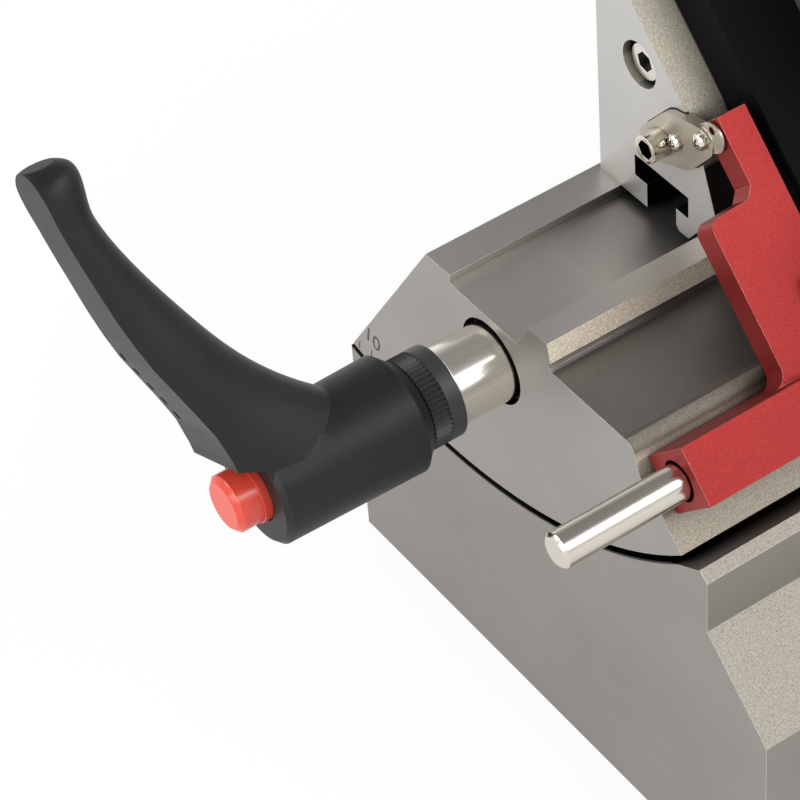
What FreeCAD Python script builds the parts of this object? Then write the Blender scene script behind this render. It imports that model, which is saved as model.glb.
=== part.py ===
import FreeCAD, Part
import math
import os
import Sketcher
from FreeCAD import Placement, Rotation, Vector

# Key duplicating machine with a tilting bed. +X runs along the bed to the operator's right, +Y to
# the back, +Z up, and the origin is on the bench under the middle of the base. Millimetres.

doc = FreeCAD.newDocument("key_duplicating_machine")
sheet = doc.addObject("Spreadsheet::Sheet", "Dims")
sheet_rows = []
nodes = {}


class Size:
    """A driving dimension, or what is worked out from some: its value and its formula in the sheet."""

    def __init__(self, value, words):
        self.value = float(value)
        self.words = words

    def __add__(self, other):
        other = as_size(other)
        return Size(self.value + other.value, f"({self.words} + {other.words})")

    def __sub__(self, other):
        other = as_size(other)
        return Size(self.value - other.value, f"({self.words} - {other.words})")

    def __mul__(self, other):
        other = as_size(other)
        return Size(self.value * other.value, f"({self.words} * {other.words})")

    def __truediv__(self, other):
        other = as_size(other)
        return Size(self.value / other.value, f"({self.words} / {other.words})")

    def __neg__(self):
        return Size(-self.value, f"(-1 * {self.words})")

    def __radd__(self, other):
        return as_size(other) + self

    def __rsub__(self, other):
        return as_size(other) - self

    def __rmul__(self, other):
        return as_size(other) * self


def as_size(amount):
    """A bare number is a size too, written into the formula as it stands."""
    return amount if isinstance(amount, Size) else Size(amount, f"{amount:.10g}")


def sin_of(angle):
    return Size(math.sin(math.radians(angle.value)), f"sin({angle.words} * 1deg)")


def cos_of(angle):
    return Size(math.cos(math.radians(angle.value)), f"cos({angle.words} * 1deg)")


def root_of(square):
    return Size(math.sqrt(square.value), f"sqrt({square.words})")


def size(name, value, note):
    """One driving dimension: a row of the sheet with its name, its value and what it measures."""
    row = len(sheet_rows) + 1
    sheet.set(f"A{row}", name)
    sheet.set(f"B{row}", str(value))
    sheet.set(f"C{row}", note)
    sheet.setAlias(f"B{row}", name)
    sheet_rows.append(name)
    return Size(value, f"Dims.{name}")


def bind(thing, path, amount):
    """Ties a property to its formula, so that it follows the sheet."""
    thing.setExpression(path, as_size(amount).words)


def put(thing, spot, turn=None):
    """Sets where a piece stands: its corner or centre, and a turn as (axis, degrees)."""
    if turn is not None:
        axis, degrees = turn
        thing.Placement = Placement(Vector(), Rotation(axis, as_size(degrees).value))
        if isinstance(degrees, Size):
            bind(thing, ".Placement.Rotation.Angle", degrees)
    for letter, amount in zip("xyz", spot):
        bind(thing, f".Placement.Base.{letter}", amount)
    return thing


X_AXIS = Vector(1, 0, 0)
Y_AXIS = Vector(0, 1, 0)
Z_AXIS = Vector(0, 0, 1)
CYLINDER_TURNS = {"x": (Y_AXIS, 90), "y": (X_AXIS, -90), "z": None}
TURNED_TURNS = {"x": None, "y": (Z_AXIS, 90), "z": (Y_AXIS, -90)}
PLANES = {"YZ": "YZ_Plane", "XY": "XY_Plane"}


def block(x, y, z):
    """A box between three pairs of limits."""
    thing = doc.addObject("Part::Box", "Block")
    for path, (low, high) in zip(("Length", "Width", "Height"), (x, y, z)):
        bind(thing, path, as_size(high) - low)
    return put(thing, (x[0], y[0], z[0]))


def rod(axis, radius, start, length):
    """A cylinder from its start point along one axis."""
    thing = doc.addObject("Part::Cylinder", "Rod")
    bind(thing, "Radius", radius)
    bind(thing, "Height", length)
    return put(thing, start, CYLINDER_TURNS[axis])


def join(*things):
    """Several shapes fused into one solid."""
    thing = doc.addObject("Part::MultiFuse", "Joined")
    thing.Shapes = list(things)
    return thing


def cut(base, *tools):
    """A shape with others taken away from it."""
    thing = doc.addObject("Part::Cut", "CutShape")
    thing.Base = base
    thing.Tool = tools[0] if len(tools) == 1 else join(*tools)
    return thing


def common(first, second):
    """What two shapes share."""
    thing = doc.addObject("Part::Common", "Shared")
    thing.Base = first
    thing.Tool = second
    return thing


def group(things):
    """Separate solids that share one node, such as screws."""
    thing = doc.addObject("Part::Compound", "Group")
    thing.Links = list(things)
    return thing


def draw_outline(body, plane, points):
    """A closed outline on one of the body's own planes, every corner held by two formulas."""
    sketch = body.newObject("Sketcher::SketchObject", "Outline")
    planes = [item for item in body.Origin.OriginFeatures if item.Role == PLANES[plane]]
    sketch.AttachmentSupport = [(planes[0], "")]
    sketch.MapMode = "FlatFace"
    corners = [(as_size(across), as_size(up)) for across, up in points]
    spots = [Vector(across.value, up.value, 0) for across, up in corners]
    count = len(spots)
    for here in range(count):
        sketch.addGeometry(Part.LineSegment(spots[here], spots[(here + 1) % count]), False)
    for here in range(count):
        sketch.addConstraint(Sketcher.Constraint("Coincident", here, 2, (here + 1) % count, 1))
    for here, corner in enumerate(corners):
        for kind, amount in zip(("DistanceX", "DistanceY"), corner):
            held = sketch.addConstraint(Sketcher.Constraint(kind, -1, 1, here, 1, amount.value))
            sketch.setExpression(f"Constraints[{held}]", amount.words)
    return sketch


def round_corners(body, points, rounds, plane):
    """Rounds the long edges of a padded outline that start at the chosen corners."""
    doc.recompute()
    last = body.Tip
    for radius, chosen in rounds:
        names = []
        for number, edge in enumerate(last.Shape.Edges, 1):
            if len(edge.Vertexes) != 2:
                continue
            first, second = (spot.Point for spot in edge.Vertexes)
            for corner in chosen:
                across, up = (as_size(amount).value for amount in points[corner])
                if plane == "YZ":
                    along = all(abs(end.y - across) + abs(end.z - up) < 1e-4 for end in (first, second))
                else:
                    along = all(abs(end.x - across) + abs(end.y - up) < 1e-4 for end in (first, second))
                if along:
                    names.append(f"Edge{number}")
        fillet = body.newObject("PartDesign::Fillet", "Rounding")
        fillet.Base = (last, names)
        bind(fillet, "Radius", radius)
        doc.recompute()
        last = fillet
    body.Tip = last


def prism(points, start, length, plane="YZ", rounds=()):
    """A bar of constant section: an outline padded along X, or along Z for plane XY."""
    body = doc.addObject("PartDesign::Body", "Prism")
    sketch = draw_outline(body, plane, points)
    pad = body.newObject("PartDesign::Pad", "Pad")
    pad.Profile = sketch
    bind(pad, "Length", length)
    sketch.Visibility = False
    if rounds:
        round_corners(body, points, rounds, plane)
    spot = (start, 0, 0) if plane == "YZ" else (0, 0, start)
    return put(body, spot)


def turned(points, axis="x", spot=(0, 0, 0)):
    """A lathe-turned piece: (distance along, radius) corners spun round the axis through a spot."""
    body = doc.addObject("PartDesign::Body", "Turned")
    sketch = draw_outline(body, "XY", points)
    spin = body.newObject("PartDesign::Revolution", "Revolution")
    spin.Profile = sketch
    spin.ReferenceAxis = (sketch, ["H_Axis"])
    spin.Angle = 360
    sketch.Visibility = False
    return put(body, spot, TURNED_TURNS[axis])


def node(name, thing):
    """Names a finished piece that stands in the machine's own frame."""
    thing.Label = name
    nodes[name] = thing
    return thing


def slope_node(name, thing):
    """Names a piece drawn flat on the sloping face: X along, Y up the slope, Z out of it."""
    put(thing, (0, slope_y, slope_z), (X_AXIS, slope_angle))
    return node(name, thing)


# Driving dimensions: the base and its trough

base_length = size("base_length", 260, "over the two end faces")
base_rear = size("base_rear", 73.5, "centre line to the rear face")
base_front = size("base_front", 73.5, "centre line to the front face")
foot_height = size("foot_height", 6.5, "rubber foot, bench to cover plate")
foot_radius = size("foot_radius", 11, "rubber foot at its widest")
foot_inset = size("foot_inset", 20, "foot centre from the base's end and side faces")
cover_thickness = size("cover_thickness", 1.5, "sheet that closes the base below")
rim_height = size("rim_height", 118, "bench to the rear rim of the bed")
pivot_y = size("pivot_y", 42.5, "tilt axis behind the centre line")
pivot_rise = size("pivot_rise", 80, "tilt axis above the rim")
bed_radius = size("bed_radius", 134, "round underside of the bed")
way_gap = size("way_gap", 1.5, "gap between the bed and its trough")
shell_thickness = size("shell_thickness", 10.5, "wall under the trough")
base_wall = size("base_wall", 10, "side walls of the base")
lip_y = size("lip_y", 54.5, "front lip before the centre line")
lip_top = size("lip_top", 96.1, "top of the lip's front face")
apron_top = size("apron_top", 82, "where the front apron starts")
apron_wall = size("apron_wall", 14.5, "metal behind the front apron")
lip_relief = size("lip_relief", 9.7, "width of the lead-in inside the lip")
tilt_reach = size("tilt_reach", 15, "tilt of the bed each way, degrees")

# Driving dimensions: the tilting bed

rim_rear = size("rim_rear", 39.5, "rear edge of the rim")
rim_width = size("rim_width", 8.5, "flat rim the head stands on")
bed_rear = size("bed_rear", 72.5, "rear foot of the bed's chamfer")
channel_depth = size("channel_depth", 2.3, "channel floor below the rim")
ridge_foot = size("ridge_foot", 7.9, "rear foot of the guide ridge")
ridge_rear = size("ridge_rear", 3.1, "rear edge of the ridge's top")
ridge_front = size("ridge_front", -3, "front edge of the ridge's top")
ridge_rise = size("ridge_rise", 5.5, "ridge top above the rim")
chute_rear = size("chute_rear", -4.5, "foot of the ridge's front wall")
chute_depth = size("chute_depth", 1.4, "chip chute floor below the rim")
land_front = size("land_front", -30.7, "front end of the chip chute floor")
land_drop = size("land_drop", 41, "down the slope to where the land meets it")
land_round = size("land_round", 4, "rounding of the land's front edge")
slope_angle = size("slope_angle", 45, "work face to the bench, degrees")
slope_y = size("slope_y", -4.5, "reference line of the slope")
slope_rise = size("slope_rise", 21.7, "reference line above the rim")

base_floor = foot_height + cover_thickness
pivot_z = rim_height + pivot_rise
trough_radius = bed_radius + way_gap
under_radius = trough_radius + shell_thickness
half_length = base_length / 2
slope_z = rim_height + slope_rise
PAST = 2


def on_slope(up, out=0):
    """Y and Z of a point on the sloping face, up the slope and out of it."""
    up = as_size(up)
    out = as_size(out)
    return (slope_y + up * cos_of(slope_angle) - out * sin_of(slope_angle),
            slope_z + up * sin_of(slope_angle) + out * cos_of(slope_angle))


def round_tilt_axis(radius, lean):
    """Y and Z of a point under the tilt axis, its lean measured from straight down to the back."""
    return (pivot_y + radius * sin_of(lean), pivot_z - radius * cos_of(lean))


# Clamp shaft: an eccentric shaft along the bed that draws the bed down into the trough

shaft_y = size("shaft_y", 17.3, "clamp shaft behind the centre line")
shaft_drop = size("shaft_drop", 14.6, "clamp shaft below the rim")
shaft_radius = size("shaft_radius", 9, "clamp shaft")
shaft_fit = size("shaft_fit", 0.05, "running clearance on the radius")
shaft_left = size("shaft_left", 13.7, "bare shaft outside the bed's left face")
face_bore_extra = size("face_bore_extra", 1.2, "face bore over the shaft")
journal_radius = size("journal_radius", 6, "eccentric journals")
throw = size("throw", 0.8, "eccentric throw")
journal_place = size("journal_place", 62, "journals either side of the middle")
journal_length = size("journal_length", 14, "journals")
eye_radius = size("eye_radius", 9.5, "head of a draw bolt")
eye_width = size("eye_width", 12, "head of a draw bolt along the shaft")
stem_radius = size("stem_radius", 4, "stem of a draw bolt")
stem_lean = size("stem_lean", 14.92, "draw bolts to the front of straight down, degrees")
yoke_fit = size("yoke_fit", 0.3, "journal in the hook of a draw bolt")
pocket_clear = size("pocket_clear", 1, "room round a draw bolt's head")
slot_margin = size("slot_margin", 3, "slot beyond the tilt each way, degrees")
shoe_thickness = size("shoe_thickness", 8, "curved shoe under the trough")
shoe_clear = size("shoe_clear", 0.3, "shoe to trough")
nut_height = size("nut_height", 6, "nuts of the draw bolts")
nut_radius = size("nut_radius", 7, "nuts of the draw bolts, over corners")

shaft_z = rim_height - shaft_drop


def base_saddle():
    """Cast base: straight end faces, a round trough on top, a lip and an apron at the front."""
    apron_low = apron_top - (base_front - lip_y)
    lip_back = lip_y - (rim_height - lip_top)
    outer = prism([(-base_front, base_floor), (base_rear, base_floor), (base_rear, rim_height),
                   (-lip_back, rim_height), (-lip_y, lip_top), (-lip_y, apron_top),
                   (-base_front, apron_low)], -half_length, base_length)
    trough = rod("x", trough_radius, (-half_length - PAST, pivot_y, pivot_z), base_length + 2 * PAST)
    lead_y = lip_relief - lip_y + 2.3
    lead_z = pivot_z - root_of(trough_radius * trough_radius - (pivot_y - lead_y) * (pivot_y - lead_y))
    lead_in = prism([(lead_y, lead_z), (lead_y, rim_height), (2.3 - lip_y, rim_height),
                     (2.3 - lip_y, lip_top + 2)], -half_length - PAST, base_length + 2 * PAST)
    offset = apron_wall / sin_of(slope_angle)
    inner_front = base_front - base_wall
    hollow_low = apron_low + base_wall - offset
    hollow_high = hollow_low + (inner_front - lip_y + base_wall)
    room = prism([(-inner_front, base_floor - PAST), (base_rear - base_wall, base_floor - PAST),
                  (base_rear - base_wall, rim_height), (base_wall - lip_y, rim_height),
                  (base_wall - lip_y, hollow_high), (-inner_front, hollow_low)],
                 base_wall - half_length, base_length - 2 * base_wall)
    ceiling = rod("x", under_radius, (-half_length, pivot_y, pivot_z), base_length)
    hollow = cut(room, ceiling)
    slots = []
    far = under_radius + shell_thickness
    for side in (-1, 1):
        reach = tilt_reach + slot_margin
        corners = [(pivot_y, pivot_z)]
        for lean in (-stem_lean - reach, -stem_lean, -stem_lean + reach):
            corners.append(round_tilt_axis(far, lean))
        middle = side * journal_place
        slots.append(prism(corners, middle - stem_radius - pocket_clear,
                           2 * stem_radius + 2 * pocket_clear))
    bosses = []
    for x, y in foot_spots():
        bosses.append(rod("z", foot_radius, (x, y, base_floor), foot_boss_height))
    shell = cut(outer, trough, lead_in, hollow, *slots)
    holes = [rod("z", foot_screw_radius, (x, y, base_floor - PAST), foot_boss_height)
             for x, y in foot_spots()]
    return cut(join(shell, *bosses), switch_cutout(), inlet_cutout(), *holes)


foot_boss_height = size("foot_boss_height", 26, "screw bosses in the base's corners")
foot_screw_radius = size("foot_screw_radius", 2.5, "foot screws")
foot_screw_length = size("foot_screw_length", 20, "foot screws")
foot_head_radius = size("foot_head_radius", 4.5, "heads of the foot screws")
foot_head_height = size("foot_head_height", 2.5, "heads of the foot screws")
cover_inset = size("cover_inset", 3, "cover plate inside the base's outline")


def foot_spots():
    """Centres of the four feet."""
    return [(side * (half_length - foot_inset), end * base_rear - end * foot_inset)
            for side in (-1, 1) for end in (-1, 1)]


def base_cover():
    sheet_metal = block((cover_inset - half_length, half_length - cover_inset),
                        (cover_inset - base_front, base_rear - cover_inset),
                        (foot_height, base_floor))
    holes = [rod("z", foot_screw_radius, (x, y, 0), base_floor + PAST) for x, y in foot_spots()]
    return cut(sheet_metal, *holes)


def rubber_feet():
    """Four feet under the corners, held by screws, and a plain pad under the middle."""
    feet = []
    for x, y in foot_spots():
        profile = [(0, foot_screw_radius), (0, foot_radius - 1.5), (1, foot_radius - 0.5),
                   (foot_height, foot_radius), (foot_height, foot_screw_radius)]
        foot = turned(profile, "z", (x, y, 0))
        sink = rod("z", foot_head_radius + 0.5, (x, y, -PAST), PAST + foot_head_height + 1)
        feet.append(cut(foot, sink))
    pad = turned([(0, 0), (0, foot_radius - 1.5), (1, foot_radius - 0.5), (foot_height, foot_radius),
                  (foot_height, 0)], "z")
    return group(feet + [pad])


def foot_screws():
    screws = []
    start = foot_head_height + 1
    for x, y in foot_spots():
        profile = [(0, 0), (0, foot_head_radius), (-foot_head_height + 0.6, foot_head_radius),
                   (-foot_head_height, foot_head_radius - 0.8), (-foot_head_height, 0)]
        head = turned(profile, "z", (x, y, start))
        screws.append(join(head, rod("z", foot_screw_radius, (x, y, start), foot_screw_length)))
    return group(screws)


strip_place = size("strip_place", 100, "bearing strips either side of the middle")
strip_width = size("strip_width", 20, "bearing strips")
strip_clear = size("strip_clear", 0.3, "bed to bearing strip")
strip_front = size("strip_front", 38, "strips to the front of straight down, degrees")
strip_back = size("strip_back", 11, "strips to the back of straight down, degrees")


def way_strips():
    """Two bronze strips that line the trough and carry the bed."""
    strips = []
    for side in (-1, 1):
        start = side * strip_place - strip_width / 2
        outer = rod("x", trough_radius, (start, pivot_y, pivot_z), strip_width)
        inner = rod("x", bed_radius + strip_clear, (start - 1, pivot_y, pivot_z), strip_width + 2)
        far = under_radius + shell_thickness
        corners = [(pivot_y, pivot_z), round_tilt_axis(far, -strip_front),
                   round_tilt_axis(far, as_size(0)), round_tilt_axis(far, strip_back)]
        strips.append(common(cut(outer, inner), prism(corners, start, strip_width)))
    return group(strips)


# Switch and mains inlet in the base

switch_x = size("switch_x", 72, "power switch right of the middle")
switch_width = size("switch_width", 28, "switch opening along X")
switch_height = size("switch_height", 20, "switch opening along Z")
switch_depth = size("switch_depth", 18, "switch body behind the face")
flange = size("flange", 2, "collar of the switch and the inlet round their openings")
panel_fit = size("panel_fit", 0.3, "switch and inlet in their openings")
inlet_x = size("inlet_x", 72, "mains inlet right of the middle")
inlet_width = size("inlet_width", 27, "inlet opening along X")
inlet_height = size("inlet_height", 20, "inlet opening along Z")
rocker_pivot = size("rocker_pivot", 3, "rocker's axle behind the panel face")
rocker_fit = size("rocker_fit", 0.8, "rocker in its frame")
rocker_tip = size("rocker_tip", 6, "tip of the rocker each way, degrees")

# Both openings stand between the floor of the base and the underside of the trough
switch_z = base_floor + (pivot_z - under_radius - base_floor) * 13 / 22


def switch_cutout():
    half = switch_width / 2
    tall = switch_height / 2
    return block((switch_x - half, switch_x + half), (-base_front - PAST, base_wall + PAST - base_front),
                 (switch_z - tall, switch_z + tall))


def inlet_cutout():
    half = inlet_width / 2
    tall = inlet_height / 2
    return block((inlet_x - half, inlet_x + half), (base_rear - base_wall - PAST, base_rear + PAST),
                 (switch_z - tall, switch_z + tall))


def power_switch():
    """Frame of the rocker switch, open at the front where the rocker sits."""
    half = switch_width / 2 - panel_fit
    tall = switch_height / 2 - panel_fit
    front = -base_front
    body = block((switch_x - half, switch_x + half), (front, front + switch_depth),
                 (switch_z - tall, switch_z + tall))
    collar = block((switch_x - half - flange, switch_x + half + flange), (front - flange, front),
                   (switch_z - tall - flange, switch_z + tall + flange))
    mouth = block((switch_x - half + flange, switch_x + half - flange),
                  (front - flange - PAST, front + switch_depth - flange),
                  (switch_z - tall + flange, switch_z + tall - flange))
    return cut(join(body, collar), mouth)


def power_rocker():
    """Rocker that tips about an upright axle; its face is a shallow V, and its right half is in."""
    half = switch_width / 2 - panel_fit - flange - rocker_fit
    tall = switch_height / 2 - panel_fit - flange - rocker_fit
    outline = [(-half, -2.5), (-half, -8.6), (0, -6.4), (half, -8.6), (half, -2.5), (4, 4), (-4, 4)]
    body = prism(outline, -tall, 2 * tall, "XY")
    axle = rod("z", as_size(1.5), (0, 0, -tall - rocker_fit + 0.1), 2 * tall + 2 * rocker_fit - 0.2)
    return put(group([join(body, axle)]), (switch_x, rocker_pivot - base_front, switch_z),
               (Z_AXIS, rocker_tip))


def power_inlet():
    """Mains inlet: a collar round a deep well with three flat pins."""
    half = inlet_width / 2 - panel_fit
    tall = inlet_height / 2 - panel_fit
    back = base_rear
    body = block((inlet_x - half, inlet_x + half), (back - 18, back),
                 (switch_z - tall, switch_z + tall))
    collar = block((inlet_x - half - flange, inlet_x + half + flange), (back, back + flange),
                   (switch_z - tall - flange, switch_z + tall + flange))
    well = block((inlet_x - half + flange, inlet_x + half - flange), (back - 15, back + flange + PAST),
                 (switch_z - tall + flange, switch_z + tall - flange))
    pins = [block((inlet_x + across - 1, inlet_x + across + 1), (back - 16, back - 6),
                  (switch_z + up - 2, switch_z + up + 2)) for across, up in ((-7, -1.5), (0, 1.5), (7, -1.5))]
    return join(cut(join(body, collar), well), *pins)


# Tilting bed

joint_gap = size("joint_gap", 0.02, "made joints between pieces that are screwed together")
small_screw = size("small_screw", 2, "shank of the small socket screws")
small_head = size("small_head", 3.4, "head of the small socket screws")
rod_up = size("rod_up", -44.9, "hinge rod up the slope from the reference line")
rod_out = size("rod_out", 9, "hinge rod out of the slope")
rod_radius = size("rod_radius", 4, "hinge rod")
pedestal_inner = size("pedestal_inner", 26, "inner faces of the rod's pedestals")
pedestal_width = size("pedestal_width", 20, "pedestals of the rod")
pedestal_radius = size("pedestal_radius", 6.5, "eye of a pedestal")
pedestal_seat = size("pedestal_seat", -1.5, "seat of the pedestals out of the slope")
pedestal_foot = size("pedestal_foot", 4.5, "foot of a pedestal, its thickness")
pedestal_end = size("pedestal_end", -59.5, "lower end of a pedestal up the slope")
hinge_relief = size("hinge_relief", 10.5, "round relief in the bed under the hinge")


def lay_on_slope(thing):
    """Moves what is drawn flat, X along and Y up the slope, on to the slope."""
    spot = (0, slope_y, slope_z)
    return put(group([thing]), spot, (X_AXIS, slope_angle))


def pedestal_start(side):
    """Left face of a pedestal."""
    return pedestal_inner if side > 0 else -pedestal_inner - pedestal_width


def pedestal_screw_spots():
    spots = []
    for side in (-1, 1):
        middle = pedestal_start(side) + pedestal_width / 2
        spots += [(middle - 5, pedestal_end + 4.3), (middle + 5, pedestal_end + 4.3)]
    return spots


def pedestal_pocket(side):
    """Seat of a pedestal in the bed, with its two screw holes."""
    start = pedestal_start(side)
    seat = block((start - joint_gap, start + pedestal_width + joint_gap),
                 (pedestal_end - 20, rod_up + pedestal_radius + 0.2), (pedestal_seat, rod_out + 20))
    holes = [rod("z", small_screw + joint_gap, (x, up, pedestal_seat - 8), 10)
             for x, up in pedestal_screw_spots()]
    return lay_on_slope(join(seat, *holes))


def bed_outline():
    """Section of the bed above its round underside, from the rear foot over the top to the front."""
    low = base_floor
    floor = rim_height - chute_depth
    return [(bed_rear, low), (bed_rear, rim_height - 50.5), (rim_rear, rim_height),
            (rim_rear - rim_width, rim_height), (rim_rear - rim_width, rim_height - channel_depth),
            (ridge_foot, rim_height - channel_depth), (ridge_rear, rim_height + ridge_rise),
            (ridge_front, rim_height + ridge_rise), (ridge_front - 1.1, rim_height + 0.8),
            (ridge_front - 0.3, rim_height + 0.5), (ridge_front - 0.5, floor), (land_front, floor),
            on_slope(-land_drop), on_slope(-land_drop - 60), (on_slope(-land_drop - 60)[0], low)]


def tilting_bed():
    """Bed of constant section: rim, channel, guide ridge, chip chute and slope on a round belly."""
    section = prism(bed_outline(), -half_length, base_length, rounds=[(land_round, [11])])
    belly = rod("x", bed_radius, (-half_length - PAST, pivot_y, pivot_z), base_length + 2 * PAST)
    whole = common(section, belly)
    rod_y, rod_z = on_slope(rod_up, rod_out)
    across = (-half_length - PAST, base_length + 2 * PAST)
    tools = [rod("x", shaft_radius + shaft_fit, (across[0], shaft_y, shaft_z), across[1]),
             rod("x", hinge_relief, (across[0], rod_y, rod_z), across[1])]
    for start in (-half_length - PAST, half_length - 3):
        tools.append(rod("x", shaft_radius + face_bore_extra, (start, shaft_y, shaft_z), PAST + 3))
    tools += [head_pocket(side) for side in (-1, 1)]
    tools += [pedestal_pocket(side) for side in (-1, 1)]
    tools += [rod("z", rail_screw_radius, (x, slot_y, rim_height - channel_depth - rail_screw_depth), 6)
              for x in rail_screw_places()]
    return cut(whole, *tools)


def along_stem(along, across):
    """Y and Z of a point seen from the shaft: down the draw bolt's stem, and to its back."""
    down = as_size(along)
    aside = as_size(across)
    return (shaft_y - down * sin_of(stem_lean) + aside * cos_of(stem_lean),
            shaft_z - down * cos_of(stem_lean) - aside * sin_of(stem_lean))


def head_pocket(side):
    """Pocket in the bed for the head and the stem of a draw bolt."""
    wide = eye_radius + pocket_clear
    deep = bed_radius
    middle = side * journal_place
    half = eye_width / 2 + pocket_clear
    corners = [along_stem(0, -wide), along_stem(0, wide), along_stem(deep, wide),
               along_stem(deep, -wide)]
    return join(prism(corners, middle - half, 2 * half),
                rod("x", wide, (middle - half, shaft_y, shaft_z), 2 * half))


stud_radius = size("stud_radius", 5, "end of the clamp shaft inside the lever")
stud_reach = size("stud_reach", 42, "that end beyond the bed's left face")
keeper_radius = size("keeper_radius", 11, "keeper on the shaft's right end")
keeper_thickness = size("keeper_thickness", 4, "keeper on the shaft's right end")
keeper_gap = size("keeper_gap", 0.3, "keeper to the bed's right face")


def clamp_shaft():
    """Nickel-plated shaft with two eccentric journals, which lie to the back when clamped."""
    left = -half_length - shaft_left
    main = rod("x", shaft_radius, (left, shaft_y, shaft_z), half_length + shaft_left + half_length)
    stud = rod("x", stud_radius, (-half_length - stud_reach, shaft_y, shaft_z), stud_reach)
    stub = rod("x", stud_radius, (half_length, shaft_y, shaft_z), keeper_gap + keeper_thickness + 3)
    necks = []
    journals = []
    journal_y, journal_z = along_stem(0, throw)
    for side in (-1, 1):
        start = side * journal_place - journal_length / 2
        necks.append(rod("x", shaft_radius + PAST, (start, shaft_y, shaft_z), journal_length))
        journals.append(rod("x", journal_radius, (start - 1, journal_y, journal_z), journal_length + 2))
    return join(cut(join(main, stud, stub), *necks), *journals)


def shaft_keeper():
    """Ring with a nut that keeps the clamp shaft in the bed."""
    start = half_length + keeper_gap
    washer = rod("x", keeper_radius, (start, shaft_y, shaft_z), keeper_thickness)
    hole = rod("x", stud_radius + 0.02, (start - 1, shaft_y, shaft_z), keeper_thickness + 2)
    return cut(washer, hole)


def draw_bolts():
    """Two draw bolts: a hook over the journal, open to the back, and a stem down through the trough."""
    bolts = []
    stem_length = under_radius - root_of((pivot_y - shaft_y) * (pivot_y - shaft_y)
                                         + (pivot_z - shaft_z) * (pivot_z - shaft_z))
    end = stem_length + shoe_clear + shoe_thickness + nut_height + 2
    for side in (-1, 1):
        middle = side * journal_place
        start = middle - eye_width / 2
        head = rod("x", eye_radius, (start, shaft_y, shaft_z), eye_width)
        tall = journal_radius + yoke_fit
        near = journal_radius + yoke_fit
        window = prism([along_stem(-tall, -near), along_stem(-tall, eye_radius + 1),
                        along_stem(tall, eye_radius + 1), along_stem(tall, -near)],
                       start - 1, eye_width + 2)
        top_y, top_z = along_stem(eye_radius - 2.5, 0)
        stem = doc.addObject("Part::Cylinder", "Stem")
        bind(stem, "Radius", stem_radius)
        bind(stem, "Height", end - eye_radius + 2.5)
        put(stem, (middle, top_y, top_z), (X_AXIS, 180 - stem_lean))
        bolts.append(join(cut(head, window), stem))
    return group(bolts)


def draw_shoes():
    """Curved shoes that bear on the underside of the trough and slide round it with the bed."""
    shoes = []
    for side in (-1, 1):
        start = side * journal_place - 11
        ring = cut(rod("x", under_radius + shoe_clear + shoe_thickness, (start, pivot_y, pivot_z), 22),
                   rod("x", under_radius + shoe_clear, (start - 1, pivot_y, pivot_z), 24))
        far = under_radius + 2 * shoe_thickness
        part = prism([(pivot_y, pivot_z), round_tilt_axis(far, -stem_lean - 4.5),
                      round_tilt_axis(far, -stem_lean + 4.5)], start, 22)
        low_y, low_z = along_stem(20, 0)
        hole = doc.addObject("Part::Cylinder", "StemHole")
        bind(hole, "Radius", stem_radius + 0.02)
        bind(hole, "Height", 80)
        put(hole, (side * journal_place, low_y, low_z), (X_AXIS, 180 - stem_lean))
        shoes.append(cut(common(ring, part), hole))
    return group(shoes)


def draw_nuts():
    """Hexagon nuts under the shoes."""
    nuts = []
    depth = under_radius + shoe_clear + shoe_thickness - root_of(
        (pivot_y - shaft_y) * (pivot_y - shaft_y) + (pivot_z - shaft_z) * (pivot_z - shaft_z))
    for side in (-1, 1):
        low_y, low_z = along_stem(depth + 0.05, 0)
        nut = doc.addObject("Part::Prism", "Nut")
        nut.Polygon = 6
        bind(nut, "Circumradius", nut_radius)
        bind(nut, "Height", nut_height)
        put(nut, (side * journal_place, low_y, low_z), (X_AXIS, 180 - stem_lean))
        hole = doc.addObject("Part::Cylinder", "NutHole")
        bind(hole, "Radius", stem_radius + 0.02)
        bind(hole, "Height", nut_height + 4)
        high_y, high_z = along_stem(depth - 2, 0)
        put(hole, (side * journal_place, high_y, high_z), (X_AXIS, 180 - stem_lean))
        nuts.append(cut(nut, hole))
    return group(nuts)


# Machine head on the rim: a core between two cheeks, held down by a T-rail

core_half = size("core_half", 76, "head core either side of the middle")
cheek_thickness = size("cheek_thickness", 9, "end cheeks of the head")
head_back = size("head_back", 38, "rear face of the head")
head_rise = size("head_rise", 62, "rear edge of the head above the rim")
head_top_y = size("head_top_y", 35.3, "top of the head's sloping face")
slot_y = size("slot_y", 16.9, "T-slot behind the centre line")
slot_neck = size("slot_neck", 4.9, "half the neck of the T-slot")
slot_wide = size("slot_wide", 9, "half the wide part of the T-slot")
slot_neck_rise = size("slot_neck_rise", 6.4, "neck of the T-slot above the rim")
slot_top_rise = size("slot_top_rise", 12.1, "top of the T-slot above the rim")
rail_fit = size("rail_fit", 0.2, "T-rail in its slot")
rail_left = size("rail_left", -55, "left end of the T-rail")
rail_right = size("rail_right", 75, "right end of the T-rail")
rail_screw_radius = size("rail_screw_radius", 2, "screws of the T-rail")
rail_screw_depth = size("rail_screw_depth", 2.5, "screws of the T-rail into the bed")
rail_head_radius = size("rail_head_radius", 3.5, "heads of those screws")
step_y = size("step_y", 11, "front foot of the head")
step_rise = size("step_rise", 0.8, "front foot of the head above the rim")
nose_y = size("nose_y", -1, "nose of the head over the guide ridge")
nose_rise = size("nose_rise", 6.2, "underside of the nose above the rim")
slope_foot_y = size("slope_foot_y", 8.9, "foot of the head's sloping face")

floor_z = rim_height - channel_depth


def rail_screw_places():
    return [rail_left + 15, (rail_left + rail_right) / 2, rail_right - 30]


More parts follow.
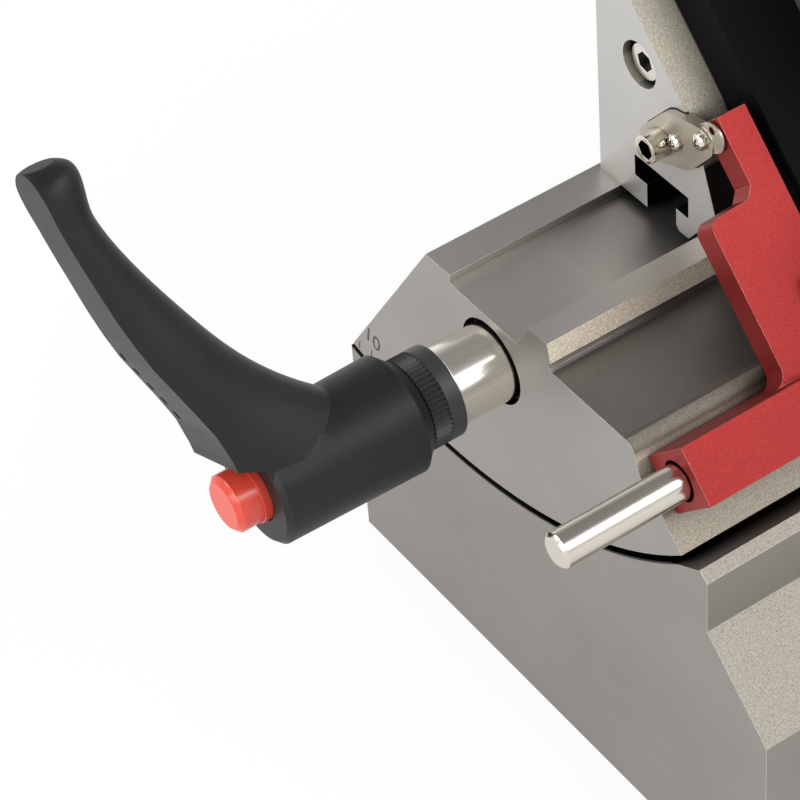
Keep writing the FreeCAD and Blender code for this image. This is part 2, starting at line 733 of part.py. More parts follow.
def head_rail():
    """T-rail screwed to the channel floor; the head's slot slides over it from the end."""
    neck = slot_neck - rail_fit
    wide = slot_wide - rail_fit
    low = rim_height + slot_neck_rise + rail_fit
    high = rim_height + slot_top_rise - rail_fit
    outline = [(slot_y - neck, floor_z), (slot_y + neck, floor_z), (slot_y + neck, low),
               (slot_y + wide, low), (slot_y + wide, high), (slot_y - wide, high),
               (slot_y - wide, low), (slot_y - neck, low)]
    rail = prism(outline, rail_left, rail_right - rail_left)
    holes = []
    for x in rail_screw_places():
        holes.append(rod("z", rail_screw_radius + joint_gap, (x, slot_y, floor_z - 1), 20))
        holes.append(rod("z", rail_head_radius + 0.3, (x, slot_y, high - 3.2), 6))
    return cut(rail, *holes)


def rail_screws():
    screws = []
    high = rim_height + slot_top_rise - rail_fit - 3.2
    for x in rail_screw_places():
        head = rod("z", rail_head_radius, (x, slot_y, high), 3)
        socket = doc.addObject("Part::Prism", "Socket")
        socket.Polygon = 6
        socket.Circumradius = 1.7
        socket.Height = 3
        put(socket, (x, slot_y, high + 1.4))
        shank = rod("z", rail_screw_radius, (x, slot_y, floor_z - rail_screw_depth),
                    high - floor_z + rail_screw_depth)
        screws.append(cut(join(head, shank), socket))
    return group(screws)


def head_outline():
    """Section of the head: flat back, T-slot in the foot, nose over the ridge, sloping face."""
    rim = rim_height
    neck_z = rim + slot_neck_rise
    top_z = rim + slot_top_rise
    foot_z = rim + step_rise
    nose_z = rim + nose_rise
    return [(head_back, rim + head_rise), (head_back, rim), (slot_y + slot_neck, rim),
            (slot_y + slot_neck, neck_z), (slot_y + slot_wide, neck_z), (slot_y + slot_wide, top_z),
            (slot_y - slot_wide, top_z), (slot_y - slot_wide, neck_z), (slot_y - slot_neck, neck_z),
            (slot_y - slot_neck, foot_z + 1), (step_y, foot_z), (step_y - 3.1, foot_z),
            (nose_y + 4.7, nose_z), (nose_y, nose_z), (nose_y, nose_z + 6.8),
            (nose_y + 4.5, nose_z + 19.8), (slope_foot_y - 1.4, slope_z + slope_foot_y - slope_y - 1.5),
            (slope_foot_y, slope_z + slope_foot_y - slope_y),
            (head_top_y, slope_z + head_top_y - slope_y)]


cheek_screw_y = size("cheek_screw_y", 23.7, "cheek screw behind the centre line")
cheek_screw_rise = size("cheek_screw_rise", 37.6, "cheek screw above the rim")
cheek_bore = size("cheek_bore", 5.5, "counterbore of the cheek screw")
cheek_head = size("cheek_head", 4.6, "head of the cheek screw")
cheek_screw_radius = size("cheek_screw_radius", 2.5, "cheek screw")


def cheek_screw_spots():
    return [(cheek_screw_y, rim_height + cheek_screw_rise)]


def head_core():
    core = prism(head_outline(), -core_half, 2 * core_half)
    tools = []
    for y, z in cheek_screw_spots():
        for start in (-core_half - 1, core_half - 14):
            tools.append(rod("x", cheek_screw_radius + joint_gap, (start, y, z), 15))
    return cut(core, *tools)


catch_x = size("catch_x", -86.8, "outer face of the catch plate")
catch_recess = size("catch_recess", 0.8, "recess for the catch plate")
catch_y = size("catch_y", 10, "middle of the catch plate")
catch_rise = size("catch_rise", 26.2, "middle of the catch plate above the rim")
catch_lean = size("catch_lean", 32.4, "catch plate from level, degrees")
catch_round = size("catch_round", 6.5, "middle of the catch plate")
catch_near = size("catch_near", 4.2, "rear end of the catch plate")
catch_far = size("catch_far", 3.4, "front end of the catch plate")
lug_round = size("lug_round", 3.4, "eye of the catch")
lug_start = size("lug_start", -86.4, "outer face of the catch's eye")
lug_thickness = size("lug_thickness", 0.5, "eye of the catch, clear of the carriage tab")


def at_catch(along, across):
    """Y and Z of a point on the catch plate, along it to the front and across it upwards."""
    along = as_size(along)
    across = as_size(across)
    return (catch_y - along * cos_of(catch_lean) + across * sin_of(catch_lean),
            rim_height + catch_rise + along * sin_of(catch_lean) + across * cos_of(catch_lean))


def catch_outline(start, length, extra=0):
    """The catch plate's form: a round middle with straight flanks to two smaller round ends."""
    rounds = [(-8.6, 0.15, catch_near + extra), (1.4, 0.75, catch_round + extra),
              (11, 0.6, catch_far + extra)]
    pieces = [rod("x", radius, (start, *at_catch(along, across)), length) for along, across, radius in rounds]
    for near, far in ((rounds[0], rounds[1]), (rounds[1], rounds[2])):
        step = math.hypot(far[0] - near[0], far[1] - near[1])
        heading = math.atan2(far[1] - near[1], far[0] - near[0])
        spread = math.acos((near[2].value - far[2].value) / step)
        corners = []
        for side in (1, -1):
            for along, across, radius in (near, far)[::side]:
                reach = heading + side * spread
                corners.append(at_catch(along + radius * math.cos(reach), across + radius * math.sin(reach)))
        pieces.append(prism(corners, start, length))
    return join(*pieces)


def left_cheek():
    start = -core_half - cheek_thickness
    cheek = prism(head_outline(), start, cheek_thickness)
    tools = [catch_outline(start - 1, catch_recess + 1, 0.3)]
    for y, z in cheek_screw_spots():
        tools.append(rod("x", cheek_bore, (start - 1, y, z), 6))
        tools.append(rod("x", cheek_screw_radius + joint_gap, (start - 1, y, z), cheek_thickness + 2))
    barrel_y, barrel_z = at_catch(*barrel_spot())
    tools.append(rod("x", barrel_radius + joint_gap, (start - 1, barrel_y, barrel_z), 7))
    tools.append(rod("x", catch_screw_radius + joint_gap, (start - 1, *at_catch(*catch_screw_spots()[0])), 6))
    return cut(cheek, *tools)


def right_cheek():
    cheek = prism(head_outline(), core_half, cheek_thickness)
    end = core_half + cheek_thickness
    tools = []
    for y, z in cheek_screw_spots():
        tools.append(rod("x", cheek_bore, (end - 5, y, z), 6))
        tools.append(rod("x", cheek_screw_radius + joint_gap, (core_half - 1, y, z), cheek_thickness + 2))
    return cut(cheek, *tools)


def hexagon(radius, start, length, y, z, lean=0):
    """A hexagonal bar along X."""
    corners = []
    for corner in range(6):
        angle = math.radians(60 * corner + lean)
        corners.append((y + radius * math.cos(angle), z + radius * math.sin(angle)))
    return prism(corners, start, length)


def cheek_screws():
    """Socket head screws in the counterbores of both cheeks."""
    screws = []
    face = core_half + cheek_thickness
    for y, z in cheek_screw_spots():
        for side in (-1, 1):
            depth = 5 - 0.02
            head_start = depth - face if side < 0 else face - depth
            profile = [(side * -1, 0), (side * -1, cheek_screw_radius), (0, cheek_screw_radius),
                       (0, cheek_head),
                       (side * 3.2, cheek_head), (side * 3.6, cheek_head - 0.4), (side * 3.6, 0)]
            head = turned(profile, "x", (head_start, y, z))
            shank = rod("x", cheek_screw_radius, (head_start - 15 if side > 0 else head_start - 1, y, z), 16)
            socket = hexagon(as_size(2.4), head_start + (1.4 if side > 0 else -4.6), 3.2, y, z, 12)
            screws.append(cut(join(head, shank), socket))
    return group(screws)


barrel_radius = size("barrel_radius", 3.3, "barrel of the catch")
barrel_reach = size("barrel_reach", 4.2, "barrel of the catch outside its plate")
catch_screw_radius = size("catch_screw_radius", 1.25, "screws of the catch plate")
catch_screw_head = size("catch_screw_head", 1.95, "heads of those screws")
catch_screw_height = size("catch_screw_height", 1.6, "heads of those screws")


def barrel_spot():
    return (-4.8, 0.6)


def catch_screw_spots():
    return [(0.9, 0.6), (10.8, 1)]


def catch_plate():
    """Plate in the cheek's recess, with a thin eye behind it that stands beside the carriage tab."""
    inner = catch_recess - core_half - cheek_thickness
    plate = catch_outline(catch_x, inner - catch_x)
    eye = rod("x", lug_round, (lug_start, *at_catch(15.2, 1.6)), lug_thickness)
    neck = prism([at_catch(11, -2.2), at_catch(11, 3.6), at_catch(15.5, 5), at_catch(15.5, -1.8)],
                 lug_start, lug_thickness)
    beside_tab = block((lug_start + lug_thickness, -tab_inner), (-5, tab_end + 0.5), (frame_under - 0.4, 24))
    tools = [rod("x", as_size(0.9), (lug_start - 1, *at_catch(15.7, 3.1)), 6), lay_on_slope(beside_tab),
             rod("x", barrel_radius + joint_gap, (catch_x - 3, *at_catch(*barrel_spot())), 8)]
    for along, across in catch_screw_spots():
        tools.append(rod("x", catch_screw_radius + joint_gap, (catch_x - 3, *at_catch(along, across)), 8))
    return cut(join(plate, eye, neck), *tools)


def catch_barrel():
    """Hollow stop of the catch, with a hexagon socket in its outer end."""
    y, z = at_catch(*barrel_spot())
    start = catch_x - barrel_reach
    body = rod("x", barrel_radius, (start, y, z), barrel_reach + 7)
    return cut(body, hexagon(as_size(2.3), start - 1, 4.6, y, z))


def catch_screws():
    """Two domed screws with cross recesses."""
    screws = []
    for along, across in catch_screw_spots():
        y, z = at_catch(along, across)
        seat = catch_x
        profile = [(0, 0), (0, catch_screw_head), (-0.6, catch_screw_head),
                   (-1.1, catch_screw_head - 0.5), (-catch_screw_height, catch_screw_head - 1.5),
                   (-catch_screw_height, 0)]
        head = turned(profile, "x", (seat, y, z))
        shank = rod("x", catch_screw_radius, (seat - 0.2, y, z), 6 if along < 5 else 1)
        arms = []
        for width, height in ((0.5, 2.2), (2.2, 0.5)):
            arms.append(block((seat - 3, seat - 0.8), (y - width / 2, y + width / 2),
                              (z - height / 2, z + height / 2)))
        screws.append(cut(join(head, shank), *arms))
    return group(screws)


# Head plate and spindle, drawn flat on the slope: X along, Y up the slope, Z out of it

plate_low = size("plate_low", -12, "lower edge of the head plate up the slope")
plate_high = size("plate_high", 64, "upper edge of the head plate up the slope")
plate_thickness = size("plate_thickness", 12, "head plate")
plate_fit = size("plate_fit", 0.3, "head plate inside the cheeks' planes")
spindle_up = size("spindle_up", 22, "spindle up the slope")
spindle_out = size("spindle_out", 36, "spindle out of the slope")
spindle_radius = size("spindle_radius", 4, "spindle")
housing_left = size("housing_left", 52, "left face of the spindle housing")
housing_right = size("housing_right", 76, "right face of the spindle housing")
housing_half = size("housing_half", 18, "half the spindle housing")
bearing_radius = size("bearing_radius", 11, "spindle bearings")
bearing_width = size("bearing_width", 7, "spindle bearings")
cutter_radius = size("cutter_radius", 30, "cutter wheel")
cutter_width = size("cutter_width", 4, "cutter wheel")
cutter_x = size("cutter_x", 45, "cutter wheel right of the middle")
cutter_teeth = 36
brush_radius = size("brush_radius", 24, "deburring brush")
brush_x = size("brush_x", 11, "deburring brush right of the middle")
pulley_radius = size("pulley_radius", 16, "flanges of the pulleys")
pulley_groove = size("pulley_groove", 14, "belt faces of the pulleys")
pulley_left = size("pulley_left", 95, "left side of the pulleys")
pulley_width = size("pulley_width", 12, "pulleys")
wheel_room = size("wheel_room", 2, "room round the wheels in the head plate")
plate_screw_radius = size("plate_screw_radius", 2.5, "screws of the head plate")


def plate_screw_spots():
    return [(x, up) for x in (-20, 30) for up in (26, 54)]


def head_plate():
    half = core_half - plate_fit
    plate = prism([(-half, plate_low), (half, plate_low), (half, plate_high), (-half, plate_high)],
                  0, plate_thickness, "XY")
    tools = []
    for x, up in plate_screw_spots():
        tools.append(rod("z", plate_screw_radius + joint_gap, (x, up, -1), plate_thickness + 2))
        tools.append(rod("z", as_size(4.8), (x, up, plate_thickness - 5), 6))
    for middle, radius, width in ((cutter_x, cutter_radius, 9), (brush_x, brush_radius, 20)):
        tools.append(rod("x", radius + wheel_room, (middle - width / 2, spindle_up, spindle_out), width))
    return cut(plate, *tools)


def plate_screws():
    screws = []
    for x, up in plate_screw_spots():
        head = rod("z", as_size(4.4), (x, up, plate_thickness - 5), 4.6)
        socket = doc.addObject("Part::Prism", "Socket")
        socket.Polygon = 6
        socket.Circumradius = 2.3
        socket.Height = 4
        put(socket, (x, up, plate_thickness - 3))
        screws.append(cut(join(head, rod("z", plate_screw_radius, (x, up, 0.05), 8)), socket))
    return group(screws)


def spindle_housing():
    long = housing_right - housing_left
    low = block((housing_left, housing_right), (spindle_up - housing_half, spindle_up + housing_half),
                (plate_thickness, spindle_out))
    top = rod("x", housing_half, (housing_left, spindle_up, spindle_out), long)
    wide = housing_half + 7.5
    foot = block((housing_left - 3, housing_right), (spindle_up - wide, spindle_up + wide),
                 (plate_thickness, plate_thickness + 6))
    tools = [rod("x", spindle_radius + 2, (housing_left - 1, spindle_up, spindle_out), long + 2)]
    for start in (housing_left - 1, housing_right - bearing_width):
        tools.append(rod("x", bearing_radius + joint_gap, (start, spindle_up, spindle_out),
                         bearing_width + 1))
    for x, up in housing_screw_spots():
        tools.append(rod("z", small_screw + joint_gap, (x, up, plate_thickness - 1), 8))
    return cut(join(low, top, foot), *tools)


def housing_screw_spots():
    return [(x, spindle_up + side * (housing_half + 3.7)) for x in (housing_left + 2, housing_right - 6)
            for side in (-1, 1)]


def socket_screws_up(spots, seat, radius, head_radius, head_height, grip):
    """Socket-head screws that stand on a flat seat, drawn along Z."""
    screws = []
    for x, up in spots:
        head = rod("z", head_radius, (x, up, seat), head_height)
        shank = rod("z", radius, (x, up, seat - grip), grip)
        socket = doc.addObject("Part::Prism", "Socket")
        socket.Polygon = 6
        bind(socket, "Circumradius", as_size(head_radius) * 0.5)
        bind(socket, "Height", head_height)
        put(socket, (x, up, seat + as_size(head_height) * 0.4))
        screws.append(cut(join(head, shank), socket))
    return group(screws)


def bearings(radius, shaft, width, starts, up, out):
    """Ball bearings shown as a ring with a shallow face groove."""
    rings = []
    for start in starts:
        profile = [(0, shaft), (0, shaft + 2), (0.8, shaft + 2), (0.8, radius - 2), (0, radius - 2),
                   (0, radius), (width, radius), (width, radius - 2), (width - 0.8, radius - 2),
                   (width - 0.8, shaft + 2), (width, shaft + 2), (width, shaft)]
        rings.append(turned(profile, "x", (start, up, out)))
    return group(rings)


def spindle():
    right = pulley_left + pulley_width + 1
    profile = [(brush_x - 23, 0), (brush_x - 23, spindle_radius - 0.6), (brush_x - 22.4, spindle_radius),
               (cutter_x + cutter_width / 2, spindle_radius), (cutter_x + cutter_width / 2, 8),
               (housing_left - 1.2, 8), (housing_left - 1.2, spindle_radius),
               (right - 0.6, spindle_radius), (right, spindle_radius - 0.6), (right, 0)]
    return turned(profile, "x", (0, spindle_up, spindle_out))


def cutter_wheel():
    """Side-and-face cutter: saw teeth round the rim and a recess in each face."""
    corners = []
    for tooth in range(cutter_teeth):
        for turn, share in ((0, 1), (0.62, 0.945)):
            angle = math.radians(360 * (tooth + turn) / cutter_teeth)
            reach = cutter_radius * share
            corners.append((spindle_up + reach * math.cos(angle), spindle_out + reach * math.sin(angle)))
    start = cutter_x - cutter_width / 2
    disc = prism(corners, start, cutter_width)
    bore = rod("x", spindle_radius + joint_gap, (start - 1, spindle_up, spindle_out), cutter_width + 2)
    hollows = [cut(rod("x", cutter_radius - 5, (spot, spindle_up, spindle_out), as_size(1.8)),
                   rod("x", as_size(10), (spot, spindle_up, spindle_out), as_size(1.8)))
               for spot in (start - 1, start + cutter_width - 0.8)]
    return cut(disc, bore, *hollows)


def cutter_nut():
    start = cutter_x - cutter_width / 2 - 6.5
    nut = hexagon(as_size(7.5), start, 6.5, spindle_up, spindle_out)
    return cut(nut, rod("x", spindle_radius + joint_gap, (start - 1, spindle_up, spindle_out), 9))


def brush_wheel():
    """Wire brush: a hub with two cheek washers and a disc of bristles that narrows to the rim."""
    half = as_size(6)
    profile = [(-half - 2, spindle_radius + joint_gap), (-half - 2, 10), (-half, 11),
               (-half + 1.5, 12), (-half + 0.5, brush_radius), (half - 0.5, brush_radius),
               (half - 1.5, 12), (half, 11), (half + 2, 10), (half + 2, spindle_radius + joint_gap)]
    return turned(profile, "x", (brush_x, spindle_up, spindle_out))


def pulley_profile(bore):
    wide = pulley_width
    return [(0, bore), (0, pulley_radius), (1.6, pulley_radius), (2, pulley_groove),
            (wide - 2, pulley_groove), (wide - 1.6, pulley_radius), (wide, pulley_radius), (wide, bore)]


def spindle_pulley():
    return turned(pulley_profile(spindle_radius + joint_gap), "x", (pulley_left, spindle_up, spindle_out))


# Tracer beside the cutter, also drawn on the slope

tracer_x = size("tracer_x", -45, "tracer left of the middle")
tracer_half = size("tracer_half", 4, "half the square tracer bar")
tracer_tip = size("tracer_tip", -8, "tip of the tracer up the slope")
tracer_fit = size("tracer_fit", 0.1, "tracer bar in its holder")
holder_low = size("holder_low", 12, "lower end of the tracer holder up the slope")
holder_high = size("holder_high", 40, "upper end of the tracer holder up the slope")
holder_half = size("holder_half", 13, "half the tracer holder")
holder_top = size("holder_top", 46, "top of the tracer holder out of the slope")
knob_gap = size("knob_gap", 0.5, "tracer knob to its holder")
tracer_knob_radius = size("tracer_knob_radius", 9, "tracer knob")
tracer_knob_length = size("tracer_knob_length", 12, "tracer knob")


def tracer_holder():
    body = prism([(tracer_x - holder_half, plate_thickness), (tracer_x + holder_half, plate_thickness),
                  (tracer_x + holder_half, holder_top - 16), (tracer_x + holder_half - 4, holder_top),
                  (tracer_x - holder_half + 4, holder_top), (tracer_x - holder_half, holder_top - 16)],
                 0, holder_high - holder_low, "XY")
    thing = put(body, (0, holder_high, 0), (X_AXIS, 90))
    half = tracer_half + tracer_fit
    hole = block((tracer_x - half, tracer_x + half), (holder_low - 1, holder_high + 1),
                 (spindle_out - half, spindle_out + half))
    screw = rod("x", as_size(2.52), (tracer_x + half, (holder_low + holder_high) / 2, spindle_out), 12)
    return cut(thing, hole, screw)


def tracer_bar():
    half = tracer_half
    bar = block((tracer_x - half, tracer_x + half), (tracer_tip + 9, holder_high + 4),
                (spindle_out - half, spindle_out + half))
    tip = prism([(tracer_x - half, tracer_tip + 9), (tracer_x - half, tracer_tip + 6),
                 (tracer_x - 0.8, tracer_tip), (tracer_x + 0.8, tracer_tip),
                 (tracer_x + half, tracer_tip + 6), (tracer_x + half, tracer_tip + 9)],
                spindle_out - half, 2 * half, "XY")
    stud = rod("y", as_size(3), (tracer_x, holder_high + 3, spindle_out), 17)
    return join(bar, tip, stud)


def tracer_knob():
    """Turned knob on the stud of the tracer, with a grip groove; it bears on the holder."""
    start = holder_high + knob_gap
    inner = root_of(2 * tracer_half * tracer_half) + 0.3
    profile = [(0, inner), (0, tracer_knob_radius - 2), (1.5, tracer_knob_radius - 2),
               (2.5, tracer_knob_radius), (10.5, tracer_knob_radius), (11.5, tracer_knob_radius - 1),
               (12, tracer_knob_radius - 1), (12, 3.1), (7, 3.1), (7, inner)]
    return turned(profile, "y", (tracer_x, start, spindle_out))


def tracer_lock_screw():
    """Socket screw that locks the tracer bar from the right."""
    start = tracer_x + tracer_half + tracer_fit + 0.3
    up = (holder_low + holder_high) / 2
    face = tracer_x + holder_half
    shank = rod("x", as_size(2.5), (start, up, spindle_out), face - start + 1)
    head = rod("x", as_size(4.3), (face + 0.5, up, spindle_out), 5)
    return cut(join(shank, head), hexagon(as_size(2.3), face + 3, 4, up, spindle_out))


# Motor, belt and guard behind the head

motor_y = size("motor_y", 73.5, "motor axis behind the centre line")
motor_rise = size("motor_rise", 40, "motor axis above the rim")
motor_radius = size("motor_radius", 28, "motor")
motor_left = size("motor_left", -35, "left end of the motor")
motor_right = size("motor_right", 68, "right end of the motor, on its bracket")
bracket_thickness = size("bracket_thickness", 8, "motor bracket")
bracket_radius = size("bracket_radius", 30, "round end of the motor bracket")
guard_radius = size("guard_radius", 22, "ends of the belt guard")
guard_left = size("guard_left", 88, "left edge of the belt guard")
guard_right = size("guard_right", 111, "right face of the belt guard")
guard_wall = size("guard_wall", 2, "wall of the belt guard")
belt_thickness = size("belt_thickness", 1.6, "drive belt")
belt_clear = size("belt_clear", 0.3, "drive belt to its pulleys")

motor_z = rim_height + motor_rise
spindle_y, spindle_z = on_slope(spindle_up, spindle_out)


def round_pair(start, length, radius):
    """Two round ends about the motor and the spindle axes, joined into one long shape."""
    ends = [rod("x", radius, (start, y, z), length)
            for y, z in ((motor_y, motor_z), (spindle_y, spindle_z))]
    run_y = motor_y - spindle_y
    run_z = motor_z - spindle_z
    run = root_of(run_y * run_y + run_z * run_z)
    across_y = as_size(radius) * run_z / run
    across_z = as_size(radius) * run_y / run
    middle = prism([(spindle_y + across_y, spindle_z - across_z),
                    (spindle_y - across_y, spindle_z + across_z),
                    (motor_y - across_y, motor_z + across_z),
                    (motor_y + across_y, motor_z - across_z)], start, length)
    return join(middle, *ends)


def motor_body():
    """Motor: a ribbed can with a domed rear end."""
    back = motor_left
    profile = [(back, 0), (back, 14), (back + 2, 22), (back + 6, motor_radius - 1.5),
               (back + 8, motor_radius - 1.5)]
    for rib in range(9):
        foot = back + 14 + rib * 9
        profile += [(foot, motor_radius - 1.5), (foot, motor_radius), (foot + 3, motor_radius),
                    (foot + 3, motor_radius - 1.5)]
    profile += [(motor_right, motor_radius - 1.5), (motor_right, 5.5), (motor_right - 4, 5.5),
                (motor_right - 4, 0)]
    return turned(profile, "x", (0, motor_y, motor_z))


def motor_bracket():
    """Angle bracket: an upright plate for the motor and a foot on the back of the head."""
    plate = join(block((motor_right, motor_right + bracket_thickness), (head_back, motor_y),
                       (motor_z - bracket_radius, motor_z + 21.5)),
                 rod("x", bracket_radius, (motor_right, motor_y, motor_z), bracket_thickness))
    foot = block((motor_right - 28, motor_right + bracket_thickness), (head_back, head_back + 5),
                 (motor_z - bracket_radius, motor_z + 21.5))
    hole = rod("x", as_size(9), (motor_right - 1, motor_y, motor_z), bracket_thickness + 2)
    tools = [rod("y", as_size(2.52), (x, head_back - 1, z), 8) for x, z in bracket_screw_spots()]
    return cut(join(plate, foot), hole, *tools)


def bracket_screw_spots():
    return [(motor_right - 20, motor_z + offset) for offset in (-20, 17)]


def bracket_screws():
    screws = []
    for x, z in bracket_screw_spots():
        head = rod("y", as_size(4.4), (x, head_back + 5, z), 5)
        screws.append(join(head, rod("y", as_size(2.5), (x, head_back + 0.05, z), 5)))
    return group(screws)


def motor_pulley():
    pulley = turned(pulley_profile(as_size(4.0)), "x", (pulley_left, motor_y, motor_z))
    shaft = rod("x", as_size(4), (motor_right - 3.7, motor_y, motor_z),
                pulley_left + pulley_width - motor_right + 4.7)
    return join(pulley, shaft)


def drive_belt():
    start = pulley_left + 2.3
    width = pulley_width - 4.6
    inner = pulley_groove + belt_clear
    return cut(round_pair(start, width, inner + belt_thickness), round_pair(start - 1, width + 2, inner))


def guard_plate():
    """Back plate of the belt guard, on the right cheek, with two holes for the shafts."""
    start = core_half + cheek_thickness
    plate = round_pair(start, guard_left - start, guard_radius)
    holes = [rod("x", as_size(9), (start - 1, y, z), 6)
             for y, z in ((motor_y, motor_z), (spindle_y, spindle_z))]
    return cut(plate, *holes)


def belt_guard():
    """Cover over both pulleys, open to its back plate, with a rounded face."""
    outer = round_pair(guard_left, guard_right - guard_left - 2, guard_radius)
    face = round_pair(guard_right - 2.02, as_size(2.02), guard_radius - 1.5)
    inner = round_pair(guard_left - 1, guard_right - guard_left - guard_wall + 1,
                       guard_radius - guard_wall)
    return cut(join(outer, face), inner)


# Lever on the clamp shaft, drawn in the plane through the shaft's axis

ring_radius = size("ring_radius", 10.5, "serrated ring")
ring_end = size("ring_end", 24, "serrated ring, its end from the bed's left face")
hub_start = size("hub_start", 25, "full hub of the lever from the bed's left face")
hub_end = size("hub_end", 59.5, "outer end of the hub from the bed's left face")
hub_radius = size("hub_radius", 13.5, "hub of the lever")
hub_outer = size("hub_outer", 12.95, "hub of the lever at its outer end")
hub_neck = size("hub_neck", 10.4, "small end of the hub's cone")
hub_bore = size("hub_bore", 5.3, "hub bore over the shaft's end")
button_radius = size("button_radius", 6.8, "push button")
button_end = size("button_end", 67, "front of the button from the bed's left face")
button_clear = size("button_clear", 0.3, "push button in the hub")
button_room = size("button_room", 12, "depth of the button's bore")
arm_turn = size("arm_turn", 65, "lever arm from level to the back, degrees")

# Stations of the arm: along X from the bed's left face, out from the shaft, half width in the
# lever's plane, half thickness across it, and how far the section leans from the shaft's direction
arm_stations = []
for station, values in enumerate([(-49.5, 2, 13, 12.8, 1), (-56.6, 10.4, 19.8, 11, 5),
                                  (-62, 19.4, 14.5, 9.7, 11), (-65.4, 26.1, 12, 9.1, 22),
                                  (-69.6, 35.3, 10.9, 8.7, 24), (-73, 44.8, 9.6, 7.85, 21),
                                  (-75.5, 54.1, 8, 7.1, 18), (-77.7, 63.5, 6.9, 6.7, 13),
                                  (-79, 71.4, 7.2, 6.6, 2), (-79.3, 77.3, 7.9, 6.4, 2),
                                  (-78.7, 80, 6.4, 4.9, 0), (-78.3, 81.6, 3.4, 2.4, 0)]):
    names = ("along", "out", "half_width", "half_thickness", "lean")
    arm_stations.append([size(f"arm_{name}_{station}", value, f"arm station {station}, {name}")
                         for name, value in zip(names, values)])

# Flat outer face of the arm in the same plane: along X from the bed's left face, out from the shaft
facet_line = [(-59.4, -16), (-59.4, 7), (-65.2, 9.2), (-65.5, 12), (-66.7, 18), (-68.9, 24), (-71.3, 30),
              (-73.7, 36), (-75.5, 42), (-77, 48), (-78.2, 54), (-79.4, 60), (-80.5, 66), (-81.5, 72),
              (-82.2, 78), (-82.5, 86)]
facet_depth = size("facet_depth", 16, "reach of the cut that makes the flat face, each way across")
notch_radius = size("notch_radius", 1.7, "five shallow notches in the flat face")
notch_rise = size("notch_rise", 1.2, "centre of a notch out of the flat face")
notch_spots = [(-67.35, 19.9), (-68.9, 24), (-70.5, 28), (-72.2, 32.2), (-73.8, 36.3)]


def lever_handle():
    """Lever with a turned hub and an arm: a rounded inner side, a flat outer face with five notches."""
    left = -half_length
    sections = []
    for along, out, half_width, half_thickness, lean in arm_stations:
        section = doc.addObject("Part::Ellipse", "Section")
        bind(section, "MajorRadius", half_width)
        bind(section, "MinorRadius", half_thickness)
        turn = Rotation(X_AXIS, arm_turn.value) * Rotation(Z_AXIS, lean.value) * Rotation(X_AXIS, 90)
        section.Placement = Placement(Vector(), turn)
        spot = (left + along, shaft_y + out * cos_of(arm_turn), shaft_z + out * sin_of(arm_turn))
        for letter, amount in zip("xyz", spot):
            bind(section, f".Placement.Base.{letter}", amount)
        sections.append(section)
    arm = doc.addObject("Part::Loft", "Arm")
    arm.Sections = sections
    arm.Solid = True
    arm.Ruled = False
    inside = prism(facet_line + [(0, 86), (0, -16)], -facet_depth, 2 * facet_depth, "XY")
    keep = put(group([inside]), (left, shaft_y, shaft_z), (X_AXIS, arm_turn))
    notches = [rod("z", notch_radius, (along - notch_rise * 0.93, out - notch_rise * 0.37, -6.6), 1.5)
               for along, out in notch_spots]
    grips = put(group(notches), (left, shaft_y, shaft_z), (X_AXIS, arm_turn))
    wide = button_radius + button_clear
    profile = [(-hub_start + 3.2, hub_bore), (-hub_start + 3.2, hub_neck),
               (-hub_start + 1, hub_radius - 1), (-hub_start, hub_radius), (1.2 - hub_end, hub_outer),
               (-hub_end, hub_outer - 1.2), (-hub_end, wide), (button_room - hub_end, wide),
               (button_room - hub_end, hub_bore)]
    hub = turned(profile, "x", (left, shaft_y, shaft_z))
    room = turned([(-hub_end - 30, 0), (-hub_end - 30, wide), (button_room - hub_end, wide),
                   (button_room - hub_end, hub_bore), (10 - hub_start, hub_bore), (10 - hub_start, 0)],
                  "x", (left, shaft_y, shaft_z))
    return join(cut(common(arm, keep), room, grips), hub)


def serrated_ring():
    """Toothed ring that fixes the lever's place on the shaft."""
    corners = []
    teeth = 54
    for tooth in range(teeth):
        for turn, share in ((0, 1), (0.5, 0.93)):
            angle = math.radians(360 * (tooth + turn) / teeth)
            reach = ring_radius * share
            corners.append((shaft_y + reach * math.cos(angle), shaft_z + reach * math.sin(angle)))
    toothed = prism(corners, -half_length - ring_end + 2.6, ring_end - shaft_left - 3.2)
    collar = rod("x", ring_radius, (-half_length - shaft_left - 3.5, shaft_y, shaft_z), 3.5)
    bore = rod("x", stud_radius + joint_gap, (-half_length - ring_end - 2, shaft_y, shaft_z), 20)
    return cut(join(toothed, collar), bore)


def push_button():
    """Round button in the hub's outer end, with a chamfered front and a collar."""
    reach = button_end - hub_end
    profile = [(-reach, 0), (-reach, button_radius - 1.6), (1.2 - reach, button_radius - 0.3),
               (-1.6, button_radius - 0.3), (-1.6, button_radius), (6, button_radius), (6, 0)]
    return turned(profile, "x", (-half_length - hub_end, shaft_y, shaft_z))


# Hinged key carriage, drawn on the slope; it rocks about the rod

